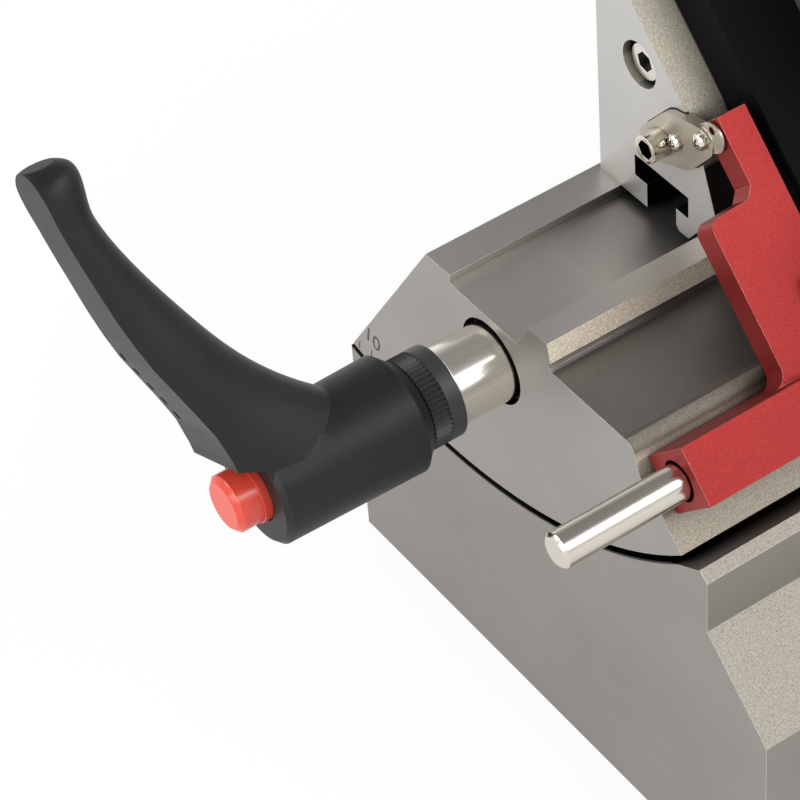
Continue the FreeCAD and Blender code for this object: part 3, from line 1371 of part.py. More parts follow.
bar_end = size("bar_end", 127.5, "ends of the carriage bars")
bar_inner = size("bar_inner", 48, "inner ends of the carriage bars")
bar_high = size("bar_high", -38.4, "upper side of the bars up the slope")
bar_low = size("bar_low", -51.4, "lower side of the bars up the slope")
bar_under = size("bar_under", 1.5, "underside of the bars out of the slope")
bar_top = size("bar_top", 16.5, "top of the bars out of the slope")
frame_under = size("frame_under", 5, "underside of the carriage plate out of the slope")
frame_top = size("frame_top", 12, "top of the carriage plate out of the slope")
arm_flare = size("arm_flare", 4, "flare of the arms where they meet the bars")
arm_outer = size("arm_outer", 97.8, "outer side of the arms' wide part")
tab_outer = size("tab_outer", 85.6, "outer side of the tab")
tab_inner = size("tab_inner", 78.6, "inner side of the arms")
tab_end = size("tab_end", 15, "end of the tab up the slope")
shoulder = size("shoulder", -3, "shoulder of the arms up the slope")
plate_edge = size("plate_edge", -36.5, "lower edge of the carriage plate between the bars")
cross_high = size("cross_high", -16, "upper side of the cross member up the slope")
bushing_radius = size("bushing_radius", 5.5, "bushings in the bars")
bushing_fit = size("bushing_fit", 0.06, "bushings on the hinge rod")
bushing_sink = size("bushing_sink", 2, "bushings behind the bars' end faces")
bushing_length = size("bushing_length", 18, "bushings in the bars")
rod_left = size("rod_left", -158, "left end of the hinge rod")
rod_right = size("rod_right", 127, "right end of the hinge rod")


def guide_rod():
    long = rod_right - rod_left
    profile = [(0, 0), (0, rod_radius - 0.7), (0.7, rod_radius), (long - 0.7, rod_radius),
               (long, rod_radius - 0.7), (long, 0)]
    return turned(profile, "x", (rod_left, rod_up, rod_out))


def rod_blocks():
    """Two pedestals that hold the rod to the bed between the carriage bars."""
    blocks = []
    for start in (pedestal_start(-1), pedestal_start(1)):
        eye = rod("x", pedestal_radius, (start, rod_up, rod_out), pedestal_width)
        web = block((start, start + pedestal_width), (rod_up - pedestal_radius, rod_up + pedestal_radius),
                    (pedestal_seat, rod_out))
        foot = block((start, start + pedestal_width), (pedestal_end, rod_up),
                     (pedestal_seat, pedestal_seat + pedestal_foot))
        bore = rod("x", rod_radius + joint_gap, (start - 1, rod_up, rod_out), pedestal_width + 2)
        holes = [rod("z", small_screw + joint_gap, (x, up, pedestal_seat - 1), pedestal_foot + 2)
                 for x, up in pedestal_screw_spots()]
        blocks.append(cut(join(eye, web, foot), bore, *holes))
    return group(blocks)


def carriage_frame():
    """Red carriage: a plate with two arms and a tab, on two bars bored for the hinge rod."""
    corners = [(-tab_outer, tab_end), (-tab_inner, tab_end), (-tab_inner, cross_high),
               (tab_inner, cross_high), (tab_inner, shoulder), (arm_outer, shoulder),
               (arm_outer, bar_high), (arm_outer + arm_flare, bar_high),
               (arm_outer + arm_flare, bar_high - 1), (bar_inner, bar_high - 1), (bar_inner, plate_edge),
               (-bar_inner, plate_edge), (-bar_inner, bar_high - 1), (-arm_outer - arm_flare, bar_high - 1),
               (-arm_outer - arm_flare, bar_high), (-arm_outer, bar_high), (-arm_outer, shoulder),
               (-arm_outer + 2.3, shoulder + 0.4), (-tab_outer - 1.9, shoulder + 0.8),
               (-tab_outer, shoulder + 3)]
    plate = prism(corners, frame_under, frame_top - frame_under, "XY",
                  rounds=[(as_size(2.5), [16]), (as_size(3), [2, 3]), (arm_flare - 0.5, [6, 15])])
    parts = [plate]
    tools = []
    for start, end in ((-bar_end, -bar_inner), (bar_inner, bar_end)):
        outline = [(bar_low, bar_under), (bar_high, bar_under), (bar_high, bar_top), (bar_low, bar_top)]
        bar = prism(outline, start, end - start)
        parts.append(bar)
        tools.append(rod("x", rod_radius + 0.7, (start - 1, rod_up, rod_out), end - start + 2))
        for sleeve in (start + bushing_sink, end - bushing_sink - bushing_length):
            tools.append(rod("x", bushing_radius + joint_gap, (sleeve, rod_up, rod_out), bushing_length))
    groove = block((-arm_outer - 1, arm_outer + 1), (bar_high, bar_high + 0.7),
                   (frame_top - 0.8, frame_top + 9))
    for x in rail_bolt_places():
        tools.append(rod("z", as_size(2.02), (x, rail_up, frame_under - 1), 12))
    return cut(join(*parts), groove, *tools)


def carriage_bushings():
    bushings = []
    for start, end in ((-bar_end, -bar_inner), (bar_inner, bar_end)):
        for sleeve in (start + bushing_sink, end - bushing_sink - bushing_length):
            profile = [(0, rod_radius + bushing_fit), (0, bushing_radius), (bushing_length, bushing_radius),
                       (bushing_length, rod_radius + bushing_fit)]
            bushings.append(turned(profile, "x", (sleeve, rod_up, rod_out)))
    return group(bushings)


rail_up = size("rail_up", -27, "vise rail up the slope")
rail_half = size("rail_half", 84.3, "half the vise rail")
rail_foot = size("rail_foot", 4, "half the foot of the dovetail")
rail_top_half = size("rail_top_half", 6, "half the top of the dovetail")
rail_height = size("rail_height", 5, "vise rail")
slide_half = size("slide_half", 66, "half the vise slide")
slide_wide = size("slide_wide", 11, "half the width of the vise slide")
slide_top = size("slide_top", 24, "top of the vise slide out of the slope")
slide_under = size("slide_under", 0.6, "vise slide above the carriage plate")
dovetail_fit = size("dovetail_fit", 0.3, "vise slide on its rail")
slide_travel = size("slide_travel", 18, "travel of the vise slide each way")


def rail_bolt_places():
    return [-72, -24, 24, 72]


def vise_rail():
    low = frame_top
    high = low + rail_height
    outline = [(rail_up - rail_foot, low), (rail_up + rail_foot, low), (rail_up + rail_top_half, high),
               (rail_up - rail_top_half, high)]
    rail = prism(outline, -rail_half, 2 * rail_half)
    tools = []
    for x in rail_bolt_places():
        tools.append(rod("z", as_size(2.02), (x, rail_up, low - 1), 12))
        tools.append(rod("z", as_size(3.8), (x, rail_up, high - 2.6), 5))
    return cut(rail, *tools)


def rail_bolts():
    high = frame_top + rail_height - 2.6
    return socket_screws_up([(x, rail_up) for x in rail_bolt_places()], high, as_size(2), as_size(3.5),
                            as_size(2.4), as_size(8.5))


def vise_slide():
    fit = dovetail_fit
    low = frame_top
    high = low + rail_height
    body = prism([(rail_up - slide_wide, low + slide_under), (rail_up + slide_wide, low + slide_under),
                  (rail_up + slide_wide, slide_top), (rail_up - slide_wide, slide_top)],
                 -slide_half, 2 * slide_half)
    groove = prism([(rail_up - rail_foot - fit, low - 1), (rail_up + rail_foot + fit, low - 1),
                    (rail_up + rail_foot + fit, low), (rail_up + rail_top_half + fit, high + fit),
                    (rail_up - rail_top_half - fit, high + fit), (rail_up - rail_foot - fit, low)],
                   -slide_half - 1, 2 * slide_half + 2)
    holes = [rod("z", vise_stud_radius + joint_gap, (side * vise_x, rail_up, slide_top - 4), 8)
             for side in (-1, 1)]
    return cut(body, groove, *holes)


vise_half = size("vise_half", 15, "half the length of a vise")
vise_wide = size("vise_wide", 11, "half the width of a vise")
vise_x = size("vise_x", 45, "vises either side of the middle")
vise_floor = size("vise_floor", 34, "lower jaw face out of the slope")
jaw_low = size("jaw_low", 40.5, "upper jaw face out of the slope, open")
jaw_high = size("jaw_high", 51, "top of the upper jaw out of the slope, open")
jaw_travel = size("jaw_travel", 5, "closing travel of a jaw")
vise_stud_radius = size("vise_stud_radius", 4, "vise studs")
vise_stud_fit = size("vise_stud_fit", 0.1, "jaw and knob on the stud")
knob_low = size("knob_low", 51.3, "underside of a vise knob out of the slope")
vise_knob_height = size("vise_knob_height", 16, "vise knob")
vise_knob_radius = size("vise_knob_radius", 11, "vise knob")
vise_tip = size("vise_tip", 6, "jaws reach up the slope past their bodies")


def vise_body(side):
    """Lower half of a vise with a narrow jaw at its upper end."""
    middle = side * vise_x
    up = rail_up
    base = prism([(middle - vise_half, up - vise_wide), (middle + vise_half, up - vise_wide),
                  (middle + vise_half, up + vise_wide - 4), (middle + 6, up + vise_wide + vise_tip),
                  (middle - 6, up + vise_wide + vise_tip), (middle - vise_half, up + vise_wide - 4)],
                 slide_top, vise_floor - slide_top, "XY")
    hole = rod("z", vise_stud_radius + joint_gap, (middle, up, slide_top - 1), 20)
    step = block((middle - 7, middle + 7), (up + 4, up + vise_wide + vise_tip + 1),
                 (vise_floor - 1.2, vise_floor + 1))
    return cut(base, hole, step)


def vise_bodies():
    return group([vise_body(side) for side in (-1, 1)])


def vise_jaw(side):
    """Upper half of a vise; a heel at the back keeps it level."""
    middle = side * vise_x
    up = rail_up
    top = prism([(middle - vise_half, up - vise_wide), (middle + vise_half, up - vise_wide),
                 (middle + vise_half, up + vise_wide - 4), (middle + 6, up + vise_wide + vise_tip),
                 (middle - 6, up + vise_wide + vise_tip), (middle - vise_half, up + vise_wide - 4)],
                jaw_low, jaw_high - jaw_low, "XY")
    hole = rod("z", vise_stud_radius + vise_stud_fit, (middle, up, jaw_low - 1), 20)
    return cut(top, hole)


def vise_studs():
    studs = []
    for side in (-1, 1):
        studs.append(rod("z", vise_stud_radius, (side * vise_x, rail_up, slide_top - 4), 34))
    return group(studs)


def vise_knob(side):
    """Knob with four wings over the jaw."""
    middle = side * vise_x
    up = rail_up
    high = vise_knob_height
    profile = [(0, vise_stud_radius + vise_stud_fit), (0, 8), (3, 8), (4.5, vise_knob_radius - 2),
               (high - 1.5, vise_knob_radius - 2), (high, vise_knob_radius - 3.5), (high, 0),
               (high - 3, 0), (high - 3, vise_stud_radius + vise_stud_fit)]
    core = turned(profile, "z", (middle, up, knob_low))
    wings = []
    for turn in range(6):
        angle = math.radians(60 * turn)
        reach = vise_knob_radius - 2.4
        wings.append(rod("z", as_size(2.6), (middle + reach * math.cos(angle),
                                            up + reach * math.sin(angle), knob_low + 4.5), high - 6.5))
    return join(core, *wings)


# The machine, piece by piece

slope_pieces = {"head_plate": head_plate, "plate_screws": plate_screws,
                "spindle_housing": spindle_housing, "spindle": spindle, "cutter_wheel": cutter_wheel,
                "cutter_nut": cutter_nut, "brush_wheel": brush_wheel, "spindle_pulley": spindle_pulley,
                "tracer_holder": tracer_holder, "tracer_bar": tracer_bar, "tracer_knob": tracer_knob,
                "tracer_lock_screw": tracer_lock_screw, "guide_rod": guide_rod,
                "rod_blocks": rod_blocks, "carriage_frame": carriage_frame,
                "carriage_bushings": carriage_bushings, "vise_rail": vise_rail,
                "rail_bolts": rail_bolts, "vise_bodies": vise_bodies, "vise_slide": vise_slide,
                "vise_studs": vise_studs}
level_pieces = {"base_saddle": base_saddle, "base_cover": base_cover, "rubber_feet": rubber_feet,
                "foot_screws": foot_screws, "way_strips": way_strips, "power_switch": power_switch,
                "power_rocker": power_rocker, "power_inlet": power_inlet, "tilting_bed": tilting_bed,
                "clamp_shaft": clamp_shaft, "shaft_keeper": shaft_keeper, "draw_bolts": draw_bolts,
                "draw_shoes": draw_shoes, "draw_nuts": draw_nuts, "head_rail": head_rail,
                "rail_screws": rail_screws, "head_core": head_core, "left_cheek": left_cheek,
                "right_cheek": right_cheek, "cheek_screws": cheek_screws, "catch_plate": catch_plate,
                "catch_barrel": catch_barrel, "catch_screws": catch_screws, "motor_body": motor_body,
                "motor_bracket": motor_bracket, "bracket_screws": bracket_screws,
                "motor_pulley": motor_pulley, "drive_belt": drive_belt, "guard_plate": guard_plate,
                "belt_guard": belt_guard, "lever_handle": lever_handle,
                "serrated_ring": serrated_ring, "push_button": push_button}

for piece_name, make in level_pieces.items():
    node(piece_name, group([make()]))
for piece_name, make in slope_pieces.items():
    slope_node(piece_name, group([make()]))
slope_node("socket_screws", group([
    socket_screws_up(housing_screw_spots(), plate_thickness + 6, small_screw, small_head, as_size(4),
                     as_size(5.9)),
    socket_screws_up(pedestal_screw_spots(), pedestal_seat + pedestal_foot, small_screw, small_head,
                     as_size(4), as_size(10))]))
slope_node("spindle_bearings", group([bearings(bearing_radius, spindle_radius + 0.03, bearing_width,
                                               (housing_left, housing_right - bearing_width),
                                               spindle_up, spindle_out)]))
for side, word in ((-1, "left"), (1, "right")):
    slope_node(f"{word}_vise_jaw", group([vise_jaw(side)]))
    slope_node(f"{word}_vise_knob", group([vise_knob(side)]))

doc.recompute()
os.makedirs("parts", exist_ok=True)
for item in doc.Objects:
    if "Invalid" in item.State or "Error" in item.State:
        print(f"object {item.Name} ({item.Label}) is {item.State}")
for name, thing in nodes.items():
    if thing.Shape.isNull() or not thing.Shape.isValid():
        print(f"{name} is not a valid shape")
    thing.Shape.exportStep(f"parts/{name}.step")
    box = thing.Shape.BoundBox
    print(f"{name}: {len(thing.Shape.Solids)} solid(s), {thing.Shape.Volume:.0f} mm3, "
          f"x {box.XMin:.1f}..{box.XMax:.1f} y {box.YMin:.1f}..{box.YMax:.1f} z {box.ZMin:.1f}..{box.ZMax:.1f}")
print(f"{len(nodes)} nodes")
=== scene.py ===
import math
import bmesh
import bpy
from mathutils import Matrix, Vector


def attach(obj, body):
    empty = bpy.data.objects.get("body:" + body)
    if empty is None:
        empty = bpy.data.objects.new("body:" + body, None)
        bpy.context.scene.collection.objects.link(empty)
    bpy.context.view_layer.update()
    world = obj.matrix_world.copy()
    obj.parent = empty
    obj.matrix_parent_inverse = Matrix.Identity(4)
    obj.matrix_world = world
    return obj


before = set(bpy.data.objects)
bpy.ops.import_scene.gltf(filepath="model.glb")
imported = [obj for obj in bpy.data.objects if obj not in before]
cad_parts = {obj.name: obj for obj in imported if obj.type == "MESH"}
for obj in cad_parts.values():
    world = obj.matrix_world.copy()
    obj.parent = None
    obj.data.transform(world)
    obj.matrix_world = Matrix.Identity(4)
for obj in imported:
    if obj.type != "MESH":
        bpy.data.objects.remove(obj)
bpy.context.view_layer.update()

scene = bpy.context.scene


# Camera: a long lens near the left end of the machine, looking down at the lever and the bed, as a
# photographer frames a detail. The picture is square.
picture_right = Vector((0.8160, -0.5748, -0.0620))
picture_down = Vector((-0.4409, -0.5493, -0.7098))
camera_place = (-0.4271, -0.4271, 0.6205)
camera = bpy.data.objects.new("camera", bpy.data.cameras.new("camera"))
camera.data.lens = 160.35
camera.data.sensor_width = 36
camera.data.clip_start = 0.01
picture_depth = picture_right.cross(picture_down)
turn = Matrix((picture_right, -picture_down, -picture_depth)).transposed().to_4x4()
camera.matrix_world = Matrix.Translation(camera_place) @ turn
scene.collection.objects.link(camera)
scene.camera = camera
scene.view_settings.view_transform = "Standard"


# Studio: a matte white sweep under four soft boxes. The sweep is white to the camera, nearly so to
# reflections, and keeps the machine's shadow; the room above it is dim, so that level metal faces
# stay darker than upright ones.
def linear(colour):
    """An sRGB hex value as the linear colour that Blender works in."""
    parts = [int(colour[i:i + 2], 16) / 255 for i in (1, 3, 5)]
    return [p / 12.92 if p <= 0.04045 else ((p + 0.055) / 1.055) ** 2.4 for p in parts] + [1.0]


def add(tree, kind, sockets=None, **settings):
    """Adds a node; sockets holds its input values, or the output sockets to link to them."""
    made = tree.nodes.new(kind)
    for name, value in settings.items():
        setattr(made, name, value)
    for name, value in (sockets or {}).items():
        if isinstance(value, bpy.types.NodeSocket):
            tree.links.new(value, made.inputs[name])
        else:
            made.inputs[name].default_value = value
    return made


def new_material(name):
    """An empty node material and its node tree."""
    material = bpy.data.materials.new(name)
    material.use_nodes = True
    material.node_tree.nodes.clear()
    return material, material.node_tree


# how much of the sweep glows by itself: most of it to the camera, less to reflections, none to
# the light that falls on the machine
camera_share = 0.875
mirror_share = 0.7
sweep_strength = 1.03
matte_sweep, tree = new_material("matte_white_sweep")
path = add(tree, "ShaderNodeLightPath")
mirrored = add(tree, "ShaderNodeMath", {0: path.outputs["Is Glossy Ray"], 1: mirror_share},
               operation="MULTIPLY").outputs[0]
share = add(tree, "ShaderNodeMath", {0: path.outputs["Is Camera Ray"], 1: camera_share, 2: mirrored},
            operation="MULTIPLY_ADD").outputs[0]
# painted shadow: to reflections the sweep is darker under the machine, out to 0.24 m from its middle
place = add(tree, "ShaderNodeTexCoord").outputs["Object"]
away = add(tree, "ShaderNodeVectorMath", {0: place}, operation="LENGTH").outputs["Value"]
lit = add(tree, "ShaderNodeMapRange", {"Value": away, "From Min": 0.1, "From Max": 0.24,
                                       "To Min": 0.62}).outputs[0]
lit = add(tree, "ShaderNodeMath", {0: lit, 1: path.outputs["Is Camera Ray"]},
          operation="MAXIMUM").outputs[0]
strength = add(tree, "ShaderNodeMath", {0: lit, 1: sweep_strength}, operation="MULTIPLY").outputs[0]
matte = add(tree, "ShaderNodeBsdfDiffuse", {"Color": linear("#f4f4f4")}).outputs[0]
glow = add(tree, "ShaderNodeEmission", {"Color": linear("#ffffff"), "Strength": strength}).outputs[0]
mixed = add(tree, "ShaderNodeMixShader", {0: share, 1: matte, 2: glow})
add(tree, "ShaderNodeOutputMaterial", {"Surface": mixed.outputs[0]})
sweep = bmesh.new()
bmesh.ops.create_grid(sweep, x_segments=2, y_segments=2, size=3.0)
sweep_mesh = bpy.data.meshes.new("sweep")
sweep.to_mesh(sweep_mesh)
sweep_mesh.materials.append(matte_sweep)
floor = bpy.data.objects.new("sweep", sweep_mesh)
scene.collection.objects.link(floor)

# the room is white to the camera, bright to reflections at the horizon and dim overhead
room = bpy.data.worlds.new("dim_room")
room.use_nodes = True
tree = room.node_tree
tree.nodes.clear()
path = add(tree, "ShaderNodeLightPath")
place = add(tree, "ShaderNodeTexCoord").outputs["Generated"]
up = add(tree, "ShaderNodeSeparateXYZ", {0: place}).outputs["Z"]
mirrored = add(tree, "ShaderNodeMapRange", {"Value": up, "From Min": 0.0, "From Max": 0.58,
                                            "To Min": 1.15, "To Max": 0.28}).outputs[0]
ambient = add(tree, "ShaderNodeMix", {"Factor": path.outputs["Is Glossy Ray"], "A": 0.42,
                                      "B": mirrored}).outputs[0]
level = add(tree, "ShaderNodeMix", {"Factor": path.outputs["Is Camera Ray"], "A": ambient,
                                    "B": 1.0}).outputs[0]
sky = add(tree, "ShaderNodeBackground", {"Color": linear("#ffffff"), "Strength": level})
add(tree, "ShaderNodeOutputWorld", {"Surface": sky.outputs[0]})
scene.world = room


def soft_box(name, place, target, wide, tall, watts):
    """A rectangular lamp at a place, aimed at a target; lengths are in metres."""
    lamp = bpy.data.lights.new(name, "AREA")
    lamp.shape = "RECTANGLE"
    lamp.size = wide
    lamp.size_y = tall
    lamp.energy = watts
    box = bpy.data.objects.new(name, lamp)
    aim = (Vector(target) - Vector(place)).to_track_quat("-Z", "Y").to_matrix().to_4x4()
    box.matrix_world = Matrix.Translation(place) @ aim
    scene.collection.objects.link(box)


soft_box("front_box", (0.75, -0.95, 1.15), (0, 0, 0.1), 1.3, 0.9, 6)
soft_box("strip_box", (0.70, -0.82, 1.31), (-0.14, 0, 0.1), 1.8, 0.26, 8)
soft_box("left_box", (-1.5, -0.3, 0.8), (0, 0, 0.1), 0.9, 0.9, 12)
soft_box("edge_box", (-1.2, 0.8, 0.95), (-0.1, 0, 0.12), 0.8, 0.5, 7)


# Base: one aluminium casting that carries everything, a saddle with a round trough for the bed.
# Its faces are milled and then glass-bead blasted to a soft satin; handling has rubbed its edges
# bright. Painted shade darkens the trough and the round seam. A zinc-plated sheet closes it below.
MM = 0.001


def grime(tree, reach):
    """Painted shade that darkens corners, slots and counterbores: 1 in the open, 0.05 deep inside.
    Reach is how wide the opening may be, in mm."""
    open_sky = add(tree, "ShaderNodeAmbientOcclusion", {"Distance": reach * MM}).outputs["AO"]
    return add(tree, "ShaderNodeMapRange", {"Value": open_sky, "From Min": 0.14, "From Max": 0.6,
                                            "To Min": 0.05}).outputs[0]


def blasted_alloy(name, tone, bright=None, toward=None, past=None, painted_shading=None):
    """Bead-blasted aluminium: a soft sheen with no clear reflection. Faces that look toward a given
    way, and upward ones past a distance to the front, get a paler tone, stronger grain and a duller
    finish; on the faces toward the given way the paler tone and grain are painted light from the front
    lamps. painted_shading gives the painted light and shade of one piece, as a factor of its tone."""
    material, tree = new_material(name)
    given = add(tree, "ShaderNodeTexCoord").outputs
    marks = {"place": given["Object"], "facing": given["Normal"]}
    # blasting grit leaves 0.35 mm pits; patches of tone from handling are about 30 mm wide
    grit = add(tree, "ShaderNodeTexNoise", {"Vector": marks["place"], "Scale": 2800.0, "Detail": 2.0,
                                            "Roughness": 0.65}).outputs[0]
    patches = add(tree, "ShaderNodeTexNoise", {"Vector": marks["place"], "Scale": 32.0,
                                               "Detail": 4.0}).outputs[0]
    patch = add(tree, "ShaderNodeMapRange", {"Value": patches, "From Min": 0.3, "From Max": 0.7,
                                             "To Min": 0.94, "To Max": 1.05}).outputs[0]
    # stray specks of dust 0.3 mm wide, about 15 mm apart
    strays = add(tree, "ShaderNodeTexVoronoi", {"Vector": marks["place"], "Scale": 70.0}).outputs[0]
    dust = add(tree, "ShaderNodeMapRange", {"Value": strays, "From Min": 0.012, "From Max": 0.008,
                                            "To Max": 0.5}).outputs[0]
    shown, contrast, metal, rough = linear(tone)[:3], 0.15, 0.9, 0.45
    if toward is not None:
        lean = add(tree, "ShaderNodeVectorMath", {0: marks["facing"], 1: toward},
                   operation="DOT_PRODUCT").outputs["Value"]
        coarse = add(tree, "ShaderNodeMapRange", {"Value": lean, "From Min": 0.78,
                                                  "From Max": 0.83}).outputs[0]
        if past is not None:
            # level faces at the front get half of the paler tone, stronger grain and duller finish
            spot = add(tree, "ShaderNodeSeparateXYZ", {0: marks["place"]}).outputs
            facing = add(tree, "ShaderNodeSeparateXYZ", {0: marks["facing"]}).outputs
            front = add(tree, "ShaderNodeMapRange", {"Value": spot["Y"], "From Min": past,
                                                     "From Max": past - 0.3 * MM,
                                                     "To Max": 0.5}).outputs[0]
            upward = add(tree, "ShaderNodeMapRange", {"Value": facing["Z"], "From Min": 0.3,
                                                      "From Max": 0.4}).outputs[0]
            front = add(tree, "ShaderNodeMath", {0: front, 1: upward}, operation="MULTIPLY").outputs[0]
            coarse = add(tree, "ShaderNodeMath", {0: coarse, 1: front}, operation="MAXIMUM").outputs[0]
            marks["front"] = front
        marks["coarse"] = coarse
        # painted light: the paler tone and stronger grain of faces toward the given way stand for the
        # front lamps' light
        shown = add(tree, "ShaderNodeMix", {"Factor": coarse, 6: linear(tone), 7: linear(bright)},
                    data_type="RGBA").outputs[2]
        contrast = add(tree, "ShaderNodeMapRange", {"Value": coarse, "To Min": contrast,
                                                    "To Max": 1.5}).outputs[0]
        metal = add(tree, "ShaderNodeMapRange", {"Value": coarse, "To Min": metal,
                                                 "To Max": 0.4}).outputs[0]
        rough = add(tree, "ShaderNodeMapRange", {"Value": coarse, "To Min": rough,
                                                 "To Max": 0.62}).outputs[0]
    pit = add(tree, "ShaderNodeMath", {0: grit, 1: -0.5}, operation="ADD").outputs[0]
    level = add(tree, "ShaderNodeMath", {0: pit, 1: contrast, 2: patch},
                operation="MULTIPLY_ADD").outputs[0]
    level = add(tree, "ShaderNodeMath", {0: level, 1: dust}, operation="ADD").outputs[0]
    # painted shade in corners, slots and counterbores
    level = add(tree, "ShaderNodeMath", {0: level, 1: grime(tree, 13)}, operation="MULTIPLY").outputs[0]
    # painted light and shade of the one piece, as a factor of its tone
    if painted_shading is not None:
        level = add(tree, "ShaderNodeMath", {0: level, 1: painted_shading(tree, marks)},
                    operation="MULTIPLY").outputs[0]
    toned = add(tree, "ShaderNodeVectorMath", {0: shown, "Scale": level}, operation="SCALE")
    rough = add(tree, "ShaderNodeMath", {0: patch, 1: rough}, operation="MULTIPLY").outputs[0]
    bump = add(tree, "ShaderNodeBump", {"Strength": 0.35, "Distance": 0.06 * MM, "Height": grit})
    shader = add(tree, "ShaderNodeBsdfPrincipled", {"Base Color": toned.outputs[0], "Metallic": metal,
                                                    "Roughness": rough, "Normal": bump.outputs[0]})
    add(tree, "ShaderNodeOutputMaterial", {"Surface": shader.outputs[0]})
    return material


# the bed turns in the trough about an axis above the machine
tilt_y, tilt_z = 0.0425, 0.198
shaded_radius = 0.1358


def trough_oil(tree, marks):
    """Painted shade: black on the trough and along the round seam, on everything within the shaded
    radius.
    """
    flat = add(tree, "ShaderNodeVectorMath", {0: marks["place"], 1: (0, 1, 1)},
               operation="MULTIPLY").outputs[0]
    reach = add(tree, "ShaderNodeVectorMath", {0: flat, 1: (0, tilt_y, tilt_z)},
                operation="DISTANCE").outputs["Value"]
    return add(tree, "ShaderNodeMapRange", {"Value": reach, "From Min": shaded_radius,
                                            "From Max": shaded_radius + 0.3 * MM,
                                            "To Min": 0.02}).outputs[0]


def rubbed_edge(name, colour, painted_shading=None):
    """The bare, polished corner that handling leaves; it gives a thin bright line."""
    material, tree = new_material(name)
    place = add(tree, "ShaderNodeTexCoord").outputs["Object"]
    # rubbing is uneven over about 4 mm
    uneven = add(tree, "ShaderNodeTexNoise", {"Vector": place, "Scale": 250.0, "Detail": 3.0}).outputs[0]
    rough = add(tree, "ShaderNodeMapRange", {"Value": uneven, "To Min": 0.2, "To Max": 0.42}).outputs[0]
    shown = linear(colour)
    # painted shade from painted_shading, where given, darkens the edge
    if painted_shading is not None:
        shown = add(tree, "ShaderNodeVectorMath", {0: shown[:3], "Scale": painted_shading(tree, {"place": place})},
                    operation="SCALE").outputs[0]
    shader = add(tree, "ShaderNodeBsdfPrincipled", {"Base Color": shown, "Metallic": 0.85,
                                                    "Roughness": rough})
    add(tree, "ShaderNodeOutputMaterial", {"Surface": shader.outputs[0]})
    return material


def dress(names, finish, edge, rubbed=None):
    """Gives CAD pieces their finish and breaks their edges by a width in mm; rubbed is the finish
    of the edges themselves."""
    for name in names:
        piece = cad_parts[name]
        piece.data.materials.clear()
        piece.data.materials.append(finish)
        if rubbed:
            piece.data.materials.append(rubbed)
        piece.data.polygons.foreach_set("use_smooth", [True] * len(piece.data.polygons))
        piece.modifiers.new("weld", "WELD").merge_threshold = 0.001 * MM
        broken = piece.modifiers.new("broken_edges", "BEVEL")
        broken.width = edge * MM
        broken.segments = 2
        broken.limit_method = "ANGLE"
        broken.angle_limit = math.radians(25)
        broken.material = 1 if rubbed else -1
        piece.modifiers.new("normals", "WEIGHTED_NORMAL").keep_sharp = True


# the apron and the lip's top look this way, toward the front lamps; they are left as coarser blast,
# duller and grainy, with a paler tone that is painted light
apron_way = (0, -0.35, 0.937)
# painted shade darkens the trough and the round seam, on the casting and on its rubbed edges
base_alloy = blasted_alloy("blasted_casting", "#9e9993", "#b0aa9f", apron_way, painted_shading=trough_oil)
base_edge = rubbed_edge("rubbed_casting_edge", "#f6f3ee", painted_shading=trough_oil)
dress(["base_saddle"], base_alloy, 0.4, rubbed=base_edge)


def plated_metal(name, colour, rough, lines=(1, 1, 1), pitch=0.25, depth=0.15, reach=3, smear=0.25):
    """Machined and plated metal. The tool leaves lines a pitch in mm apart; lines holds how the
    pattern is stretched along X, Y and Z, so that the lines run along or round the piece. Depth is
    how much they change the tone, and smear how much fingers change the gloss."""
    material, tree = new_material(name)
    place = add(tree, "ShaderNodeTexCoord").outputs["Object"]
    stretched = add(tree, "ShaderNodeMapping", {"Vector": place, "Scale": lines}).outputs[0]
    strokes = add(tree, "ShaderNodeTexNoise", {"Vector": stretched, "Scale": 1 / (pitch * MM),
                                               "Detail": 3.0, "Roughness": 0.6}).outputs[0]
    # fingers leave smears about 11 mm wide
    smears = add(tree, "ShaderNodeTexNoise", {"Vector": place, "Scale": 90.0, "Detail": 4.0}).outputs[0]
    tint = add(tree, "ShaderNodeMapRange", {"Value": strokes, "From Min": 0.25, "From Max": 0.75,
                                            "To Min": 1 - depth, "To Max": 1 + depth}).outputs[0]
    # painted shade in corners and crevices, out to reach mm
    tint = add(tree, "ShaderNodeMath", {0: tint, 1: grime(tree, reach)}, operation="MULTIPLY").outputs[0]
    toned = add(tree, "ShaderNodeVectorMath", {0: linear(colour)[:3], "Scale": tint}, operation="SCALE")
    worn = add(tree, "ShaderNodeMapRange", {"Value": smears, "From Min": 0.3, "From Max": 0.7,
                                            "To Min": rough * (1 - smear),
                                            "To Max": rough * (1 + smear)}).outputs[0]
    bump = add(tree, "ShaderNodeBump", {"Strength": 0.08, "Distance": 0.03 * MM, "Height": strokes})
    shader = add(tree, "ShaderNodeBsdfPrincipled", {"Base Color": toned.outputs[0], "Metallic": 1.0,
                                                    "Roughness": worn, "Normal": bump.outputs[0]})
    add(tree, "ShaderNodeOutputMaterial", {"Surface": shader.outputs[0]})
    return material


zinc_sheet = plated_metal("zinc_plated_sheet", "#a9adb0", 0.38, (0.03, 1, 1))
dress(["base_cover"], zinc_sheet, 0.15)


# Way strips: sintered bronze strips let into the trough, that the bed slides on when it tilts.
# The strokes run across, the way the bed moves.
sintered_bronze = plated_metal("sintered_bronze", "#a97c4c", 0.42, (1, 0.03, 0.03), depth=0.25)
dress(["way_strips"], sintered_bronze, 0.15)


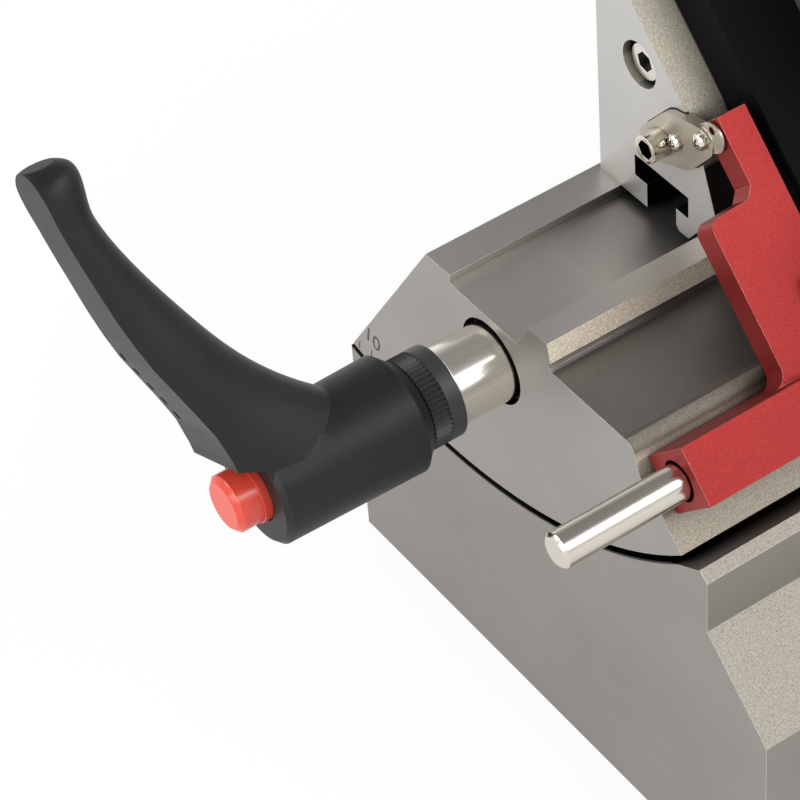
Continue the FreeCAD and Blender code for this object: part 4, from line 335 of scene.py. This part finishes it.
# Feet: four moulded rubber buttons under the corners, on zinc-plated screws, and a pad in the
# middle. Rubber is nearly black and quite dull.
def satin_skin(name, colour, rough, grain=0.4, relief=0.25, shine=0.5, fade=0.12):
    """A skin with no metal shine: moulded plastic or rubber, wax, black oxide or black anodising.
    It has the texture of the mould or the bath, of a given grain in mm, and is a little paler
    where it has been handled."""
    material, tree = new_material(name)
    place = add(tree, "ShaderNodeTexCoord").outputs["Object"]
    texture = add(tree, "ShaderNodeTexNoise", {"Vector": place, "Scale": 1 / (grain * MM),
                                               "Detail": 2.0}).outputs[0]
    # handling leaves patches about 17 mm wide
    handled = add(tree, "ShaderNodeTexNoise", {"Vector": place, "Scale": 60.0, "Detail": 4.0}).outputs[0]
    tint = add(tree, "ShaderNodeMapRange", {"Value": handled, "From Min": 0.3, "From Max": 0.7,
                                            "To Min": 1 - fade, "To Max": 1 + fade}).outputs[0]
    toned = add(tree, "ShaderNodeVectorMath", {0: linear(colour)[:3], "Scale": tint}, operation="SCALE")
    worn = add(tree, "ShaderNodeMapRange", {"Value": handled, "To Min": rough * 0.85,
                                            "To Max": rough * 1.15}).outputs[0]
    bump = add(tree, "ShaderNodeBump", {"Strength": relief, "Distance": 0.05 * MM, "Height": texture})
    shader = add(tree, "ShaderNodeBsdfPrincipled", {
        "Base Color": toned.outputs[0], "Roughness": worn, "IOR": 1.5, "Specular IOR Level": shine,
        "Normal": bump.outputs[0]})
    add(tree, "ShaderNodeOutputMaterial", {"Surface": shader.outputs[0]})
    return material


foot_rubber = satin_skin("moulded_rubber", "#1d1d1e", 0.75, 0.5, 0.3, 0.3)
zinc_screw = plated_metal("zinc_plated_screw_steel", "#b4b4b0", 0.32)
dress(["rubber_feet"], foot_rubber, 0.5)
dress(["foot_screws"], zinc_screw, 0.15)


# Switch and inlet: a rocker switch in the front and a mains inlet in the back, both snapped into
# the casting. Their frames are matt black nylon; the rocker is glossier.
panel_nylon = satin_skin("moulded_panel_nylon", "#19191a", 0.5, 0.35, 0.2)
rocker_gloss = satin_skin("polished_rocker_plastic", "#141415", 0.22, 0.8, 0.05)
dress(["power_switch", "power_inlet"], panel_nylon, 0.3)
dress(["power_rocker"], rocker_gloss, 0.4)


# Tilting bed: an aluminium casting with a round belly. The rear channel and the chip chute are
# milled smooth; painted shade darkens the chute, the channel floor near the head and the top of the
# slope, and painted light lightens the rim and the rest of the channel. The front wall of the ridge,
# the slope and the front land are left as coarser blast, duller and grainy, and look pale, partly by
# painted light on the faces toward the front lamps. Its corners are rubbed bright.
slope_way = (0, -0.7071, 0.7071)
slope_crown = -27.6 * MM
ridge_front = -4.5 * MM
# painted light on the rim and channel, painted shade in the chute and on the channel floor near the head,
# as factors of the tone
rear_painted_light, chute_painted_shade, head_painted_shade = 1.38, 0.6, 0.483


def milled_floors(tree, marks):
    """Painted light and shade on the bed: a lighter rim and channel, a darker chute and channel floor
    near the head, a lighter front wall of the ridge and a darker top of the slope.
    """
    coarse = marks["coarse"]
    spot = add(tree, "ShaderNodeSeparateXYZ", {0: marks["place"]}).outputs
    facing = add(tree, "ShaderNodeSeparateXYZ", {0: marks["facing"]}).outputs
    # painted shade: the channel floor darkens toward the head; the rim, 2 mm higher, keeps the lighter
    # tone
    sunk = add(tree, "ShaderNodeMapRange", {"Value": spot["Z"], "From Min": 116.6 * MM,
                                            "From Max": 117.2 * MM, "To Min": head_painted_shade,
                                            "To Max": rear_painted_light}).outputs[0]
    rear = add(tree, "ShaderNodeMapRange", {"Value": spot["X"], "From Min": -107 * MM,
                                            "From Max": -84 * MM, "To Min": rear_painted_light,
                                            "To Max": sunk}).outputs[0]
    # painted shade in front of the ridge, in the chute; painted light behind it
    floors = add(tree, "ShaderNodeMapRange", {"Value": spot["Y"], "From Min": ridge_front,
                                              "From Max": ridge_front + 0.2 * MM,
                                              "To Min": chute_painted_shade, "To Max": rear}).outputs[0]
    flat = add(tree, "ShaderNodeMapRange", {"Value": facing["Z"], "From Min": 0.9,
                                            "From Max": 0.97}).outputs[0]
    milled = add(tree, "ShaderNodeMath", {0: flat, 1: coarse}, operation="SUBTRACT",
                 use_clamp=True).outputs[0]
    deck = add(tree, "ShaderNodeMix", {"Factor": milled, "A": 1.0, "B": floors}).outputs[0]
    # painted light: the ridge's front wall, facing the front lamps, is up to twice as light
    upright = add(tree, "ShaderNodeMapRange", {"Value": facing["Y"], "From Min": -0.85,
                                               "From Max": -0.92}).outputs[0]
    wall = add(tree, "ShaderNodeMath", {0: upright, 1: coarse, 2: 1.0},
               operation="MULTIPLY_ADD").outputs[0]
    deck = add(tree, "ShaderNodeMath", {0: deck, 1: wall}, operation="MULTIPLY").outputs[0]
    # painted shade: the top of the slope is darker than the rest, as in the carriage's shadow
    upper = add(tree, "ShaderNodeMapRange", {"Value": spot["Y"], "From Min": slope_crown - 14 * MM,
                                             "From Max": slope_crown - 9 * MM}).outputs[0]
    upper = add(tree, "ShaderNodeMath", {0: upper, 1: marks["front"]}, operation="MULTIPLY").outputs[0]
    return add(tree, "ShaderNodeMath", {0: upper, 1: -0.9, 2: deck},
               operation="MULTIPLY_ADD").outputs[0]


bed_alloy = blasted_alloy("milled_and_blasted_bed", "#a7a39e", "#b1aa9b", slope_way, slope_crown,
                          milled_floors)
bright_edge = rubbed_edge("rubbed_aluminium_edge", "#f8f5f0")
dress(["tilting_bed"], bed_alloy, 0.4, rubbed=bright_edge)


# Tilt scale: strokes and a plain number cut into the bed's left end along the seam, filled with
# black wax. There is a stroke to every two degrees, and the one at the number is longer.
engraving_wax = satin_skin("black_engraving_wax", "#4a4845", 0.6, 0.3, 0.1, 0.3)
scale_face = -130.03 * MM
bed_radius = 134 * MM
stroke_width, short_stroke, long_stroke = 0.35 * MM, 2.6 * MM, 4.2 * MM
marked_degree = 10
number_height, number_rise = 6.2 * MM, 5.6 * MM


def at_degree(degree, rise):
    """A place on the scale, at a height above the seam, turned upright to it."""
    return (Matrix.Translation((scale_face, tilt_y, tilt_z))
            @ Matrix.Rotation(math.radians(degree), 4, "X")
            @ Matrix.Translation((0, 0, rise - bed_radius)))


scale = bmesh.new()
for degree in range(4, 13, 2):
    reach = long_stroke if degree == marked_degree else short_stroke
    place = (at_degree(degree, 0.6 * MM + reach / 2) @ Matrix.Diagonal((1, stroke_width, reach, 1))
             @ Matrix.Rotation(-math.pi / 2, 4, "Y"))
    bmesh.ops.create_grid(scale, x_segments=1, y_segments=1, size=0.5, matrix=place)
number = bpy.data.curves.new("number", "FONT")
number.body = str(marked_degree)
number.size = number_height
number.align_x = "CENTER"
number.align_y = "BOTTOM"
letters = bpy.data.objects.new("number", number)
letters_mesh = bpy.data.meshes.new_from_object(letters)
onto_end = Matrix(((0, 0, -1, 0), (-1, 0, 0, 0), (0, 1, 0, 0), (0, 0, 0, 1)))
letters_mesh.transform(at_degree(marked_degree, number_rise) @ onto_end)
scale.from_mesh(letters_mesh)
bpy.data.objects.remove(letters)
scale_mesh = bpy.data.meshes.new("tilt_scale")
scale.to_mesh(scale_mesh)
scale_mesh.materials.append(engraving_wax)
tilt_scale = bpy.data.objects.new("tilt_scale", scale_mesh)
scene.collection.objects.link(tilt_scale)
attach(tilt_scale, "bed")


# Clamp under the bed: a nickel-plated eccentric shaft draws two bolts with bronze shoes up against
# the base. The shaft is ground before plating, so its reflections are clear bands along it.
nickel_plate = plated_metal("nickel_plated_steel", "#f3eee4", 0.2, (0.003, 1, 1), pitch=0.5,
                            depth=0.07, smear=0.05)
bright_zinc = plated_metal("bright_zinc_steel", "#c9c7c2", 0.26, pitch=0.3, depth=0.1)
dress(["clamp_shaft", "shaft_keeper"], nickel_plate, 0.3)
dress(["draw_bolts", "draw_nuts"], bright_zinc, 0.15)
dress(["draw_shoes"], sintered_bronze, 0.2)


# Lever: glass-filled nylon moulded in one piece with its hub, satin from a grained mould, with a
# flat outer face and five small notches. A glossy red button in the hub frees it from the toothed
# ring on the shaft, which is steel with a black oxide skin.
lever_nylon = satin_skin("moulded_lever_nylon", "#202021", 0.45, 0.35, 0.22, 0.3, 0.08)
button_plastic = satin_skin("polished_red_plastic", "#dc4a38", 0.22, 1.0, 0.04, 0.5, 0.05)
ring_oxide = satin_skin("black_oxide_ring", "#3b3a3b", 0.42, 0.3, 0.2, 0.4, 0.1)
dress(["lever_handle"], lever_nylon, 0.7)
dress(["push_button"], button_plastic, 0.3)
dress(["serrated_ring"], ring_oxide, 0.08)


# Thrust washer: a thin nickel-plated steel ring behind the toothed ring, with a crowned rim that
# shows as a bright line.
shaft_y, shaft_z = 17.3 * MM, 103.4 * MM
rim_profile = ((-144.1 * MM, 10.1 * MM), (-143.7 * MM, 10.4 * MM), (-143.3 * MM, 10.1 * MM))
washer = bmesh.new()
for x, radius in rim_profile:
    upright = Matrix.Translation((x, shaft_y, shaft_z)) @ Matrix.Rotation(math.pi / 2, 4, "Y")
    bmesh.ops.create_circle(washer, segments=96, radius=radius, matrix=upright)
bmesh.ops.bridge_loops(washer, edges=washer.edges)
for face in washer.faces:
    face.smooth = True
washer_mesh = bpy.data.meshes.new("thrust_washer")
washer.to_mesh(washer_mesh)
washer_mesh.materials.append(nickel_plate)
thrust_washer = bpy.data.objects.new("thrust_washer", washer_mesh)
scene.collection.objects.link(thrust_washer)
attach(thrust_washer, "shaft")


# Head: an aluminium block between two cheek plates that make the 45 degree face, on a T-rail of
# black oxide steel. The cheeks are blasted and pale; painted shade makes their T-slots nearly black.
slot_height = 143.5 * MM


def slot_oil(tree, marks):
    """Painted shade, nearly black, on the inner faces of the T-slot and of the step over the ridge."""
    spot = add(tree, "ShaderNodeSeparateXYZ", {0: marks["place"]}).outputs
    facing = add(tree, "ShaderNodeSeparateXYZ", {0: marks["facing"]}).outputs
    low = add(tree, "ShaderNodeMapRange", {"Value": spot["Z"], "From Min": slot_height,
                                           "From Max": slot_height - 2 * MM}).outputs[0]
    inner = add(tree, "ShaderNodeMapRange", {"Value": facing["X"], "From Min": -0.95,
                                             "From Max": -0.85}).outputs[0]
    in_shade = add(tree, "ShaderNodeMath", {0: low, 1: inner}, operation="MULTIPLY").outputs[0]
    return add(tree, "ShaderNodeMapRange", {"Value": in_shade, "To Min": 1.0, "To Max": 0.015}).outputs[0]


# the cheeks' faces down the slope get the paler tone of blasted_alloy, painted light
cheek_alloy = blasted_alloy("blasted_cheek_plate", "#cac8c5", "#c9c3b2", slope_way, painted_shading=slot_oil)
head_alloy = blasted_alloy("blasted_head_block", "#a5a29e", painted_shading=slot_oil)
rail_oxide = plated_metal("black_oxide_rail", "#3c3c3d", 0.35, (0.02, 1, 1))
polished_screw = plated_metal("polished_zinc_screw", "#dedad2", 0.2, pitch=0.4, depth=0.1, reach=9)
dress(["left_cheek", "right_cheek"], cheek_alloy, 0.25, rubbed=bright_edge)
dress(["head_core"], head_alloy, 0.2)
dress(["head_rail"], rail_oxide, 0.15)
dress(["rail_screws", "cheek_screws"], polished_screw, 0.3)


# Catch: a brushed and nickel-plated plate on a polished, hollow barrel at the left cheek, held by
# two domed cross screws.
brushed_nickel = plated_metal("brushed_nickel_plate", "#c2bbad", 0.36, (1, 0.04, 1), pitch=0.3,
                              depth=0.05)
polished_nickel = plated_metal("polished_nickel_plate", "#ddd6ca", 0.12, pitch=0.5, depth=0.1, reach=9)
dress(["catch_plate"], brushed_nickel, 0.12)
dress(["catch_barrel", "catch_screws"], polished_nickel, 0.12)


# Head plate: a 10 mm aluminium plate, anodised deep black, that faces the keys; four black socket
# screws hold it. It is matt, so that it reflects little of the white room.
black_anodised = satin_skin("black_anodised_plate", "#0e0e0f", 0.5, 0.3, 0.15, 0.05, 0.1)
black_screw = plated_metal("black_oxide_screw_steel", "#3a3a3c", 0.3)
dress(["head_plate"], black_anodised, 0.4)
dress(["plate_screws", "socket_screws"], black_screw, 0.15)


# Cutter spindle: a ground steel spindle in a cast housing, with a toothed cutter of high-speed
# steel under a plain nut, and a wheel of crimped brass wire for burrs.
housing_alloy = blasted_alloy("blasted_spindle_housing", "#8f8d8a")
ground_steel = plated_metal("ground_steel", "#b9bcbe", 0.22, (1, 0.03, 0.03), depth=0.1)
cutter_steel = plated_metal("high_speed_steel", "#8f8b86", 0.28, pitch=0.5, depth=0.2)
wire_brass = plated_metal("crimped_brass_wire", "#b08d4a", 0.45, pitch=0.6, depth=0.5)
dress(["spindle_housing"], housing_alloy, 0.4, rubbed=bright_edge)
dress(["spindle_bearings", "spindle", "cutter_nut"], ground_steel, 0.15)
dress(["cutter_wheel"], cutter_steel, 0.1)
dress(["brush_wheel"], wire_brass, 0.3)


# Tracer: a square bar of ground steel in an alloy holder, set fine by a turned phenolic knob and
# locked by a black socket screw.
holder_alloy = blasted_alloy("blasted_tracer_holder", "#a29f9b")
rail_steel = plated_metal("ground_rail_steel", "#a9a9a9", 0.3, (0.02, 1, 1))
knob_phenolic = satin_skin("moulded_phenolic", "#161617", 0.28, 0.5, 0.08)
dress(["tracer_holder"], holder_alloy, 0.35, rubbed=bright_edge)
dress(["tracer_bar"], rail_steel, 0.15)
dress(["tracer_lock_screw"], black_screw, 0.15)
dress(["tracer_knob"], knob_phenolic, 0.3)


# Motor: a ribbed can in hammered grey enamel on an alloy bracket, driving the spindle by a rubber
# belt inside a moulded guard. The enamel is glossy, over a dimpled surface.
enamel, tree = new_material("hammered_motor_enamel")
place = add(tree, "ShaderNodeTexCoord").outputs["Object"]
# hammer enamel draws into flat drops about 1.5 mm across
drops = add(tree, "ShaderNodeTexVoronoi", {"Vector": place, "Scale": 660.0, "Randomness": 1.0},
            feature="SMOOTH_F1").outputs["Distance"]
dust = add(tree, "ShaderNodeTexNoise", {"Vector": place, "Scale": 40.0, "Detail": 4.0}).outputs[0]
tint = add(tree, "ShaderNodeMapRange", {"Value": dust, "To Min": 0.8, "To Max": 1.25}).outputs[0]
toned = add(tree, "ShaderNodeVectorMath", {0: linear("#45484b")[:3], "Scale": tint}, operation="SCALE")
bump = add(tree, "ShaderNodeBump", {"Strength": 0.35, "Distance": 0.1 * MM, "Height": drops})
shader = add(tree, "ShaderNodeBsdfPrincipled", {"Base Color": toned.outputs[0], "Roughness": 0.3,
                                                "Normal": bump.outputs[0]})
add(tree, "ShaderNodeOutputMaterial", {"Surface": shader.outputs[0]})
bracket_alloy = blasted_alloy("blasted_pedestal", "#b2afab")
belt_rubber = satin_skin("belt_rubber", "#202021", 0.6, 0.6, 0.4, 0.3)
guard_plastic = satin_skin("moulded_guard_plastic", "#222224", 0.45, 0.8, 0.4)
dress(["motor_body"], enamel, 0.4)
dress(["motor_bracket"], bracket_alloy, 0.3)
dress(["bracket_screws"], zinc_screw, 0.15)
dress(["motor_pulley", "spindle_pulley"], ground_steel, 0.15)
dress(["drive_belt"], belt_rubber, 0.15)
dress(["belt_guard", "guard_plate"], guard_plastic, 0.4)


# Hinge rod: ground and nickel-plated, through two alloy pedestals screwed to the bed; the carriage
# rocks and slides on it.
ground_rod = plated_metal("ground_and_plated_rod", "#d8d1c6", 0.2, (0.003, 1, 1), pitch=0.4,
                          depth=0.1, smear=0.05)
dress(["guide_rod"], ground_rod, 0.4)
dress(["rod_blocks"], bracket_alloy, 0.25, rubbed=bright_edge)


# Carriage: aluminium plate milled to shape, bead-blasted and anodised red, with bronze bushings on
# the rod. The dye wears pale at the corners.
def anodised(name, colour):
    """Dyed anodising over blasted aluminium: metal sheen under colour, with 0.3 mm grain."""
    material, tree = new_material(name)
    place = add(tree, "ShaderNodeTexCoord").outputs["Object"]
    grain = add(tree, "ShaderNodeTexNoise", {"Vector": place, "Scale": 3000.0, "Detail": 2.0}).outputs[0]
    patches = add(tree, "ShaderNodeTexNoise", {"Vector": place, "Scale": 30.0, "Detail": 3.0}).outputs[0]
    tint = add(tree, "ShaderNodeMapRange", {"Value": grain, "From Min": 0.3, "From Max": 0.7,
                                            "To Min": 0.8, "To Max": 1.2}).outputs[0]
    toned = add(tree, "ShaderNodeVectorMath", {0: linear(colour)[:3], "Scale": tint}, operation="SCALE")
    rough = add(tree, "ShaderNodeMapRange", {"Value": patches, "To Min": 0.34, "To Max": 0.48}).outputs[0]
    bump = add(tree, "ShaderNodeBump", {"Strength": 0.2, "Distance": 0.04 * MM, "Height": grain})
    shader = add(tree, "ShaderNodeBsdfPrincipled", {"Base Color": toned.outputs[0], "Metallic": 0.7,
                                                    "Roughness": rough, "Normal": bump.outputs[0]})
    add(tree, "ShaderNodeOutputMaterial", {"Surface": shader.outputs[0]})
    return material


red_anodised = anodised("red_anodised_aluminium", "#942826")
pale_red_edge = rubbed_edge("worn_anodised_edge", "#e8a89c")
dress(["carriage_frame"], red_anodised, 0.3, rubbed=pale_red_edge)
dress(["carriage_bushings"], sintered_bronze, 0.2)


# Vises: ground steel bodies on a dovetailed slide, jaws on studs, closed by moulded knobs with
# four wings.
jaw_steel = plated_metal("ground_jaw_steel", "#b2b2b0", 0.27, (0.03, 1, 1), depth=0.12)
dress(["vise_rail", "vise_slide"], rail_steel, 0.2)
dress(["vise_bodies", "left_vise_jaw", "right_vise_jaw"], jaw_steel, 0.25)
dress(["rail_bolts"], black_screw, 0.15)
dress(["vise_studs"], bright_zinc, 0.15)
dress(["left_vise_knob", "right_vise_knob"], knob_phenolic, 0.6)
